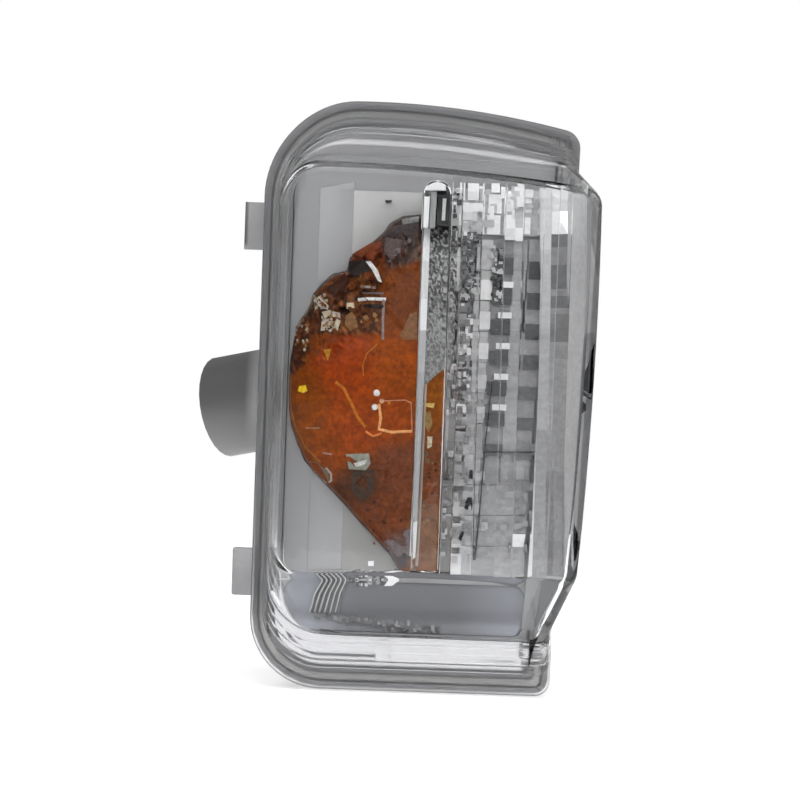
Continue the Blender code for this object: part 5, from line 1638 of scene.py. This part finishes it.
details = [
    ribbon("rib_upright", [(384, 300), (383, 322), (383, 340)], 2.6, (0.30, 0.22, 0.20)),
    ribbon("rib_white_1", [(361, 287), (376, 288)], 2.4, PALE),
    ribbon("rib_white_2", [(358, 300), (372, 299), (386, 300)], 3.2, WHITE),
    ribbon("rib_white_3", [(362, 293), (384, 294)], 2.0, MAUVE),
    ribbon("rib_dark", [(360, 306), (384, 307)], 4.0, DARK),
    chip("streak_white", [(366, 262), (371, 262), (378, 271), (382, 283), (378, 281), (372, 270)],
         WHITE, 0.0014, True),
    chip("facet_dark_1", [(349, 262), (364, 260), (377, 281), (364, 281), (349, 273)], DARK,
         0.0009, True),
    chip("facet_dark_2", [(326, 290), (345, 273), (349, 280), (334, 297)], (0.05, 0.014, 0.006),
         FLAT_LIFT, True),
    chip("facet_red", [(352, 254), (370, 243), (382, 241), (381, 250), (364, 258)],
         (0.30, 0.085, 0.040), FLAT_LIFT, True),
    chip("facet_grey_1", [(383, 236), (396, 226), (419, 222), (419, 236), (400, 240)],
         (0.075, 0.060, 0.058), FLAT_LIFT, True),
    chip("facet_grey_2", [(384, 252), (386, 238), (402, 240), (400, 254), (392, 262)],
         (0.13, 0.095, 0.090), FLAT_LIFT, True),
    chip("facet_clear", [(402, 219), (419, 216), (419, 223), (403, 226)], (0.40, 0.40, 0.38),
         FLAT_LIFT, True),
    chip("facet_pale_4", [(400, 336), (410, 314), (417, 312), (417, 340), (404, 340)],
         (0.26, 0.12, 0.055), 0.0004),
    ribbon("edge_gleam", [(312, 297), (305, 312), (298, 323), (292, 333), (287, 348), (284, 364)],
           1.4, (0.50, 0.42, 0.33)),
    chip("shard_1", [(313, 294), (320, 296), (329, 306), (328, 310), (320, 307), (314, 300)],
         (0.62, 0.57, 0.46), 0.0006),
    chip("shard_4", [(322, 312), (331, 310), (330, 315), (325, 319)], CREAM, 0.0005),
    chip("shard_5", [(331, 311), (340, 313), (341, 319), (334, 316)], PALE, 0.0004),
    chip("shard_6", [(337, 319), (341, 321), (338, 331), (334, 327)], CREAM, 0.0005),
    chip("shard_7", [(322, 321), (327, 323), (328, 330), (321, 331)], (0.50, 0.44, 0.34), 0.0004),
    chip("shard_8", [(326, 319), (333, 317), (335, 325), (328, 327)], TAN, 0.0003),
    chip("shard_2", [(347, 303), (354, 303), (355, 308), (347, 309)], (0.66, 0.55, 0.38)),
    chip("shard_3", [(346, 316), (352, 312), (357, 318), (358, 328), (350, 331), (345, 325)],
         (0.22, 0.10, 0.035)),
]
print("details at the upper left:", len(details))

# %% [markdown]
# ## Details in the middle and below
# The middle gets painted light, a glow through the plastic: a thin bright outline, a few white dots
# that are painted glints, and glowing streaks. Below lie a clear window with a painted gleam, a
# notch in the edge and a mauve tip.

# %% Details in the middle and below
details += [
    ribbon("outline_1", [(384, 401), (405, 400), (411, 403), (412, 431)], 1.1,
           (0.60, 0.27, 0.14)),
    ribbon("outline_2", [(379, 404), (381, 418), (379, 429), (392, 432), (412, 431)], 2.8,
           (0.85, 0.40, 0.14)),
    ribbon("outline_3", [(366, 431), (373, 436), (382, 433)], 2.2, (0.70, 0.20, 0.05)),
    # painted glints: white dots
    dot("dot_1", 377, 393, 3.4, WHITE), dot("dot_2", 375, 407, 3.2, WHITE),
    dot("dot_3", 382, 401, 2.4, (0.80, 0.45, 0.25)),
    dot("dot_4", 389, 403, 1.6, GLOW),
    ribbon("glow_streak", [(336, 382), (344, 388), (351, 402), (358, 417), (366, 427)], 3.0,
           (0.52, 0.150, 0.012), 0.00012),
    ribbon("fine_curve", [(377, 345), (367, 354), (363, 366), (364, 376)], 0.9, GLOW),
    chip("fleck_1", [(324, 350), (331, 349), (330, 356), (328, 361), (326, 355)],
         (0.50, 0.22, 0.02)),
    # a yellow painted highlight
    chip("fleck_2", [(297, 391), (299, 386), (306, 385), (308, 391), (303, 393)], YELLOW),
    ribbon("fleck_3", [(306, 428), (320, 428)], 1.5, (0.36, 0.20, 0.12)),
    ribbon("fleck_4", [(323, 453), (332, 454)], 1.8, (0.40, 0.24, 0.20)),
    chip("window_clear", [(346, 454), (369, 453), (371, 463), (366, 470), (349, 469)],
         (0.27, 0.27, 0.22)),
    chip("window_gleam", [(354, 463), (367, 459), (368, 463), (356, 467)], (0.60, 0.60, 0.55)),
    chip("window_dark", [(352, 471), (374, 470), (374, 490), (364, 502), (352, 492)],
         (0.055, 0.034, 0.022)),
    ribbon("notch_rim", [(326, 468), (331, 474), (331, 481), (326, 484), (322, 481)], 2.4, PALE),
    chip("notch_glass", [(309, 461), (318, 463), (328, 473), (329, 480), (324, 482), (312, 472)],
         (0.20, 0.16, 0.11)),
    chip("tip_mauve", [(384, 541), (412, 527), (411, 556), (396, 556)], MAUVE, 0.0004),
    chip("tip_dark", [(391, 554), (406, 553), (406, 569), (399, 567)], (0.080, 0.062, 0.064),
         0.0004),
    ribbon("inner_rim", [(287, 372), (287, 400), (293, 424), (305, 447), (320, 462)], 1.3,
           (0.34, 0.14, 0.03), 0.0002),
]
print("details on the dome:", len(details))

# %% [markdown]
# ## Clusters of crystals
# Between the large facets the dome is strewn with small ones. Each cluster draws its crystals from
# its own seed, with a palette of the colours that show there; the pale ones are painted glints.

# %% Clusters of crystals
# how far a crystal's corners lie from its middle, as shares of its size, and how far it rises
CRYSTAL_SPREAD, CRYSTAL_LIFT = (0.35, 0.9), (0.0002, 0.0005)
# seed, place in the picture, half width and height, count, size and colours
CLUSTERS = (
    (31, 320, 301, 7, 8, 30, 3.4, (CREAM, PALE, TAN, BROWN, RUST)),
    (32, 331, 321, 10, 10, 44, 3.2, (CREAM, PALE, BROWN, TAN, RUST, CREAM)),
    (33, 300, 336, 8, 17, 34, 2.8, (RUST, BROWN, TAN, BROWN, CREAM)),
    (34, 341, 284, 14, 8, 18, 4.4, (BROWN, RUST, BROWN)),
    (35, 368, 321, 12, 9, 18, 4.2, (BROWN, RUST, TAN, BROWN)),
    (36, 394, 254, 9, 12, 20, 4.6, (SMOKE, MAUVE, DARK, BROWN)),
    (37, 398, 238, 14, 6, 16, 4.6, (SMOKE, DARK, DARK, MAUVE)),
    (41, 431, 500, 8, 60, 24, 2.4, (TAN, RUST, BROWN)),
    (42, 380, 520, 22, 26, 30, 3.0, (RUST, BROWN, (0.14, 0.05, 0.022))))


def cluster(seed, across, down, wide, tall, count, size, palette):
    """Small raised facets strewn round a place in the picture."""
    draw = random.Random(seed)
    made = []
    for k in range(count):
        turn, reach = draw.uniform(0, math.tau), math.sqrt(draw.random())
        a, d = across + wide * reach * math.cos(turn), down + tall * reach * math.sin(turn)
        corners = draw.choice((3, 4, 4, 5))
        first = draw.uniform(0, math.tau)
        places = []
        for j in range(corners):
            turn = first + math.tau * j / corners
            places.append((a + size * draw.uniform(*CRYSTAL_SPREAD) * math.cos(turn),
                           d + size * draw.uniform(*CRYSTAL_SPREAD) * math.sin(turn)))
        made.append(chip(f"cluster_{seed}_{k}", places, draw.choice(palette),
                         draw.uniform(*CRYSTAL_LIFT)))
    return made


for given in CLUSTERS:
    details += cluster(*given)
print("details with the crystals:", len(details))

# %% [markdown]
# ## Crinkled foil
# Behind the top of the light bar the view breaks up into black and white specks. On the lamp this
# is a scrap of bright crinkled surface seen through the thick bar. A fine grid with facets from a
# cell pattern gives the crinkle from geometry, and each facet has its own painted tone: painted
# reflections in black and white, with more contrast at the top.

# %% Crinkled foil
# left, right, top and bottom in pixels
FOIL = (427, 452, 224, 390)
FOIL_SIGHT, FOIL_RIGHT, DOME_RIGHT = 0.038, 0.0078, 0.0056
FOIL_STEP, FOIL_THICKNESS, FOIL_GAP, FOIL_RELIEF = 0.00024, 0.0003, 0.0005, 0.00022
FOIL_TONE, LEAST_TONE = 0.26, 0.01
# size of the cells across and down, and the keys that give each cell its lean and its tone
FOIL_WIDE, FOIL_TALL, FOIL_CELLS, LEAN_KEY, TONE_KEY = 1.5, 0.6, 3000, 5.1, 3.7
LOW_CONTRAST, MORE_AT_TOP, FOIL_SLANT, FOIL_END = 0.12, 0.55, 0.18, 0.99


def foil_point(foil, layer, x, z, high):
    """Point of the foil over the dome, with the lean and the tone of the cell it lies in."""
    place = Vector((x * FOIL_WIDE, 0.0, z * FOIL_TALL)) * FOIL_CELLS
    middle = noise.voronoi(place)[1][0]
    lean = noise.cell_vector(middle * LEAN_KEY) - Vector((0.5, 0.5, 0.5))
    hit = dome_hit(min(x, DOME_RIGHT), z)
    base = hit.y - FOIL_GAP if hit else -SPRING
    point = foil.verts.new((x, base + (place - middle).dot(lean) * FOIL_RELIEF, z))
    contrast = LOW_CONTRAST + MORE_AT_TOP * high * high
    tone = max(FOIL_TONE + (noise.cell(middle * TONE_KEY) - 0.45) * contrast, LEAST_TONE)
    point[layer] = (tone, tone, tone * 0.98, 1.0)
    return point


def foil_mesh():
    """Thin crumpled strip laid on the dome behind the top of the light bar."""
    left, top = seen(FOIL[0], FOIL[2], FOIL_SIGHT)
    right, bottom = seen(FOIL[1], FOIL[3], FOIL_SIGHT)
    right = min(right, FOIL_RIGHT)
    across, down = round((right - left) / FOIL_STEP), round((top - bottom) / FOIL_STEP)
    foil = bmesh.new()
    layer = foil.verts.layers.float_color.new("tint")
    grid = []
    for j in range(down + 1):
        z = top + (bottom - top) * j / down
        high = min(max((z - bottom) / (top - bottom), 0.0), 1.0)
        grid.append([foil_point(foil, layer, left + (right - left) * i / across, z, high)
                     for i in range(across + 1)])
    for upper, lower in zip(grid, grid[1:]):
        for i in range(across):
            if (top - upper[i].co.z) / (top - bottom) + FOIL_SLANT * i / across < FOIL_END:
                foil.faces.new((upper[i], upper[i + 1], lower[i + 1], lower[i]))
    bmesh.ops.delete(foil, geom=[v for v in foil.verts if not v.link_faces], context="VERTS")
    bmesh.ops.solidify(foil, geom=foil.faces[:], thickness=-FOIL_THICKNESS)
    bmesh.ops.recalc_face_normals(foil, faces=foil.faces)
    return mesh_from("crinkled_foil", foil)


foil_strip = foil_mesh()
print("foil:", len(foil_strip.polygons), "faces")

# %% [markdown]
# ## Cap and edges of the light bar
# At its top the bar shows a white cap with a black slot, painted reflections in its round end, and
# down its left side runs a bright edge, a painted highlight that changes as it passes over the
# amber. Flat tiles make the cap, and short ribs laid on the dome, each in its own grey, make the
# edge.

# %% Cap and edges of the light bar
TILE_BACK, TILE_EDGE, BAR_SLANT, STRIP_LEAN = 0.0300, 0.0001, 0.045, 0.055


def tile(name, places, shade, high):
    """Flat chip in front of the bezel, with its corners at places in the picture."""
    line = [seen(across, down, high) for across, down in places]
    return tinted(plate_mesh(name, line, TILE_BACK, high, TILE_EDGE), (shade, shade, shade))


def strip(left, right, top, bottom):
    """Corners of an upright strip that leans with the lamp."""
    lean = (bottom - top) * STRIP_LEAN
    return [(left, top), (right, top), (right - lean, bottom), (left - lean, bottom)]


def bar_ribbon(name, start, top, bottom, width, colour, lift):
    """Stretch of the bar's edge, which slants from a place (across, down) in the picture."""
    left = start[0] - (top - start[1]) * BAR_SLANT
    return ribbon(name, [(left, top), (left - (bottom - top) * BAR_SLANT, bottom)], width,
                  colour, lift)


tiles = [
    tile("cap_white", [(424, 191), (426, 186), (431, 183), (438, 183), (444, 186), (446, 191)],
         0.9, 0.0415),
    tile("cap_dark", [(445, 185), (449, 187), (451, 192), (451, 196), (446, 196)], 0.02, 0.0414),
    tile("edge_white", strip(423, 430, 197, 228), 0.9, 0.0415),
    tile("slot_grey", strip(431, 437, 192, 228), 0.30, 0.0412),
    tile("slot_dark", strip(437.5, 450, 196, 226), 0.012, 0.0413),
    tile("slot_gleam", strip(442.5, 446, 199, 221), 0.55, 0.04145),
    tile("mark_dark", [(385, 200), (392, 200), (391, 203), (386, 203)], 0.02, 0.0304),
    tile("mark_white", [(368, 561), (374, 561), (374, 566), (368, 566)], 0.9, 0.0308),
]
for k, (top, bottom, shade) in enumerate((
        (228, 262, 0.90), (262, 300, 0.75), (300, 331, 0.90), (331, 372, 0.50),
        (372, 440, 0.42), (440, 520, 0.38), (520, 556, 0.75))):
    tiles.append(bar_ribbon(f"bar_edge_{k}", (427.5, 228), top, bottom, 6.5,
                            (shade, shade, shade), 0.0011))
for k, (top, bottom, shade) in enumerate(((352, 400, 0.40), (400, 470, 0.32), (470, 565, 0.30))):
    tiles.append(bar_ribbon(f"bar_side_{k}", (427, 352), top, bottom, 2.6,
                            (shade, shade * 0.8, shade * 0.66), 0.0004))
flecks = [chip("bar_fleck_1", [(423, 403), (434, 403), (433, 408), (424, 406)], (0.75, 0.50, 0.14)),
          chip("bar_fleck_2", [(425, 412), (430, 411), (432, 424), (428, 432), (424, 424)],
               (0.32, 0.20, 0.07)),
          chip("bar_fleck_3", [(427, 436), (432, 436), (431, 446), (427, 448)], (0.60, 0.52, 0.36)),
          chip("bar_fleck_4", [(424, 452), (428, 450), (429, 462), (425, 462)], (0.16, 0.10, 0.05))]
print("tiles:", len(tiles), "flecks:", len(flecks))

# %% [markdown]
# ## Amber finish
# The tint of each point is kept on the mesh, and the material only varies it by the grain, so
# the colour is the same from every side. Clear amber over a dark cavity would look black here,
# so the plastic is nearly opaque, with a low specular level for its soft gloss.

# %% Amber finish
amber, tree, shader = finish("amber_plastic", (0.30, 0.07, 0.01), 0.25, transmission=0.05,
                             ior=1.49)
shader.inputs["Specular IOR Level"].default_value = 0.10
texture = use_grain(tree, 1300.0)
varied = tree.nodes.new("ShaderNodeVectorMath")
varied.operation = "SCALE"
tree.links.new(attribute(tree, "tint")["Color"], varied.inputs[0])
tree.links.new(scaled(tree, texture["Height"], To_Min=0.15, To_Max=1.65), varied.inputs["Scale"])
tree.links.new(varied.outputs["Vector"], shader.inputs["Base Color"])
add_bump(tree, shader, texture["Height"], 0.15, 0.0003)

foil_finish, tree, shader = finish("crinkled_foil", (0.5, 0.5, 0.5), 0.35)
tree.links.new(attribute(tree, "tint")["Color"], shader.inputs["Base Color"])
add_bump(tree, shader, use_grain(tree, 1500.0)["Height"], 0.3, 0.0002)
for mesh in [amber_mesh] + details + flecks:
    mesh.materials.append(amber)
for mesh in [foil_strip] + tiles:
    mesh.materials.append(foil_finish)
dome = joined("amber_dome", [amber_mesh, foil_strip] + details + flecks + tiles)
print("amber piece:", len(dome.data.polygons), "faces")

# %% [markdown]
# ## The pieces in the frame
# Every piece now hides the solid it stands for, and says which body it rides on. The lamp is one
# body, and the holder with its bulb turns as another.
# The stepped reflector stands for no solid: it only adds to the bezel.

# %% The pieces in the frame
for name, piece in kept.items():
    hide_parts(name)
    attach(piece, frame["nodes"][name]["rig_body"])
new_pieces = ((dome, "amber_filter", "amber_plastic"),
              (bezel, "reflector_insert", "bright_coating"),
              (stepped, None, "bright_coating"), (lens, "outer_lens", "clear_lens"))
for piece, replaced, slot in new_pieces:
    if replaced:
        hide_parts(replaced)
    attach(piece, "lamp")
print("pieces:", len(kept) + len(new_pieces))
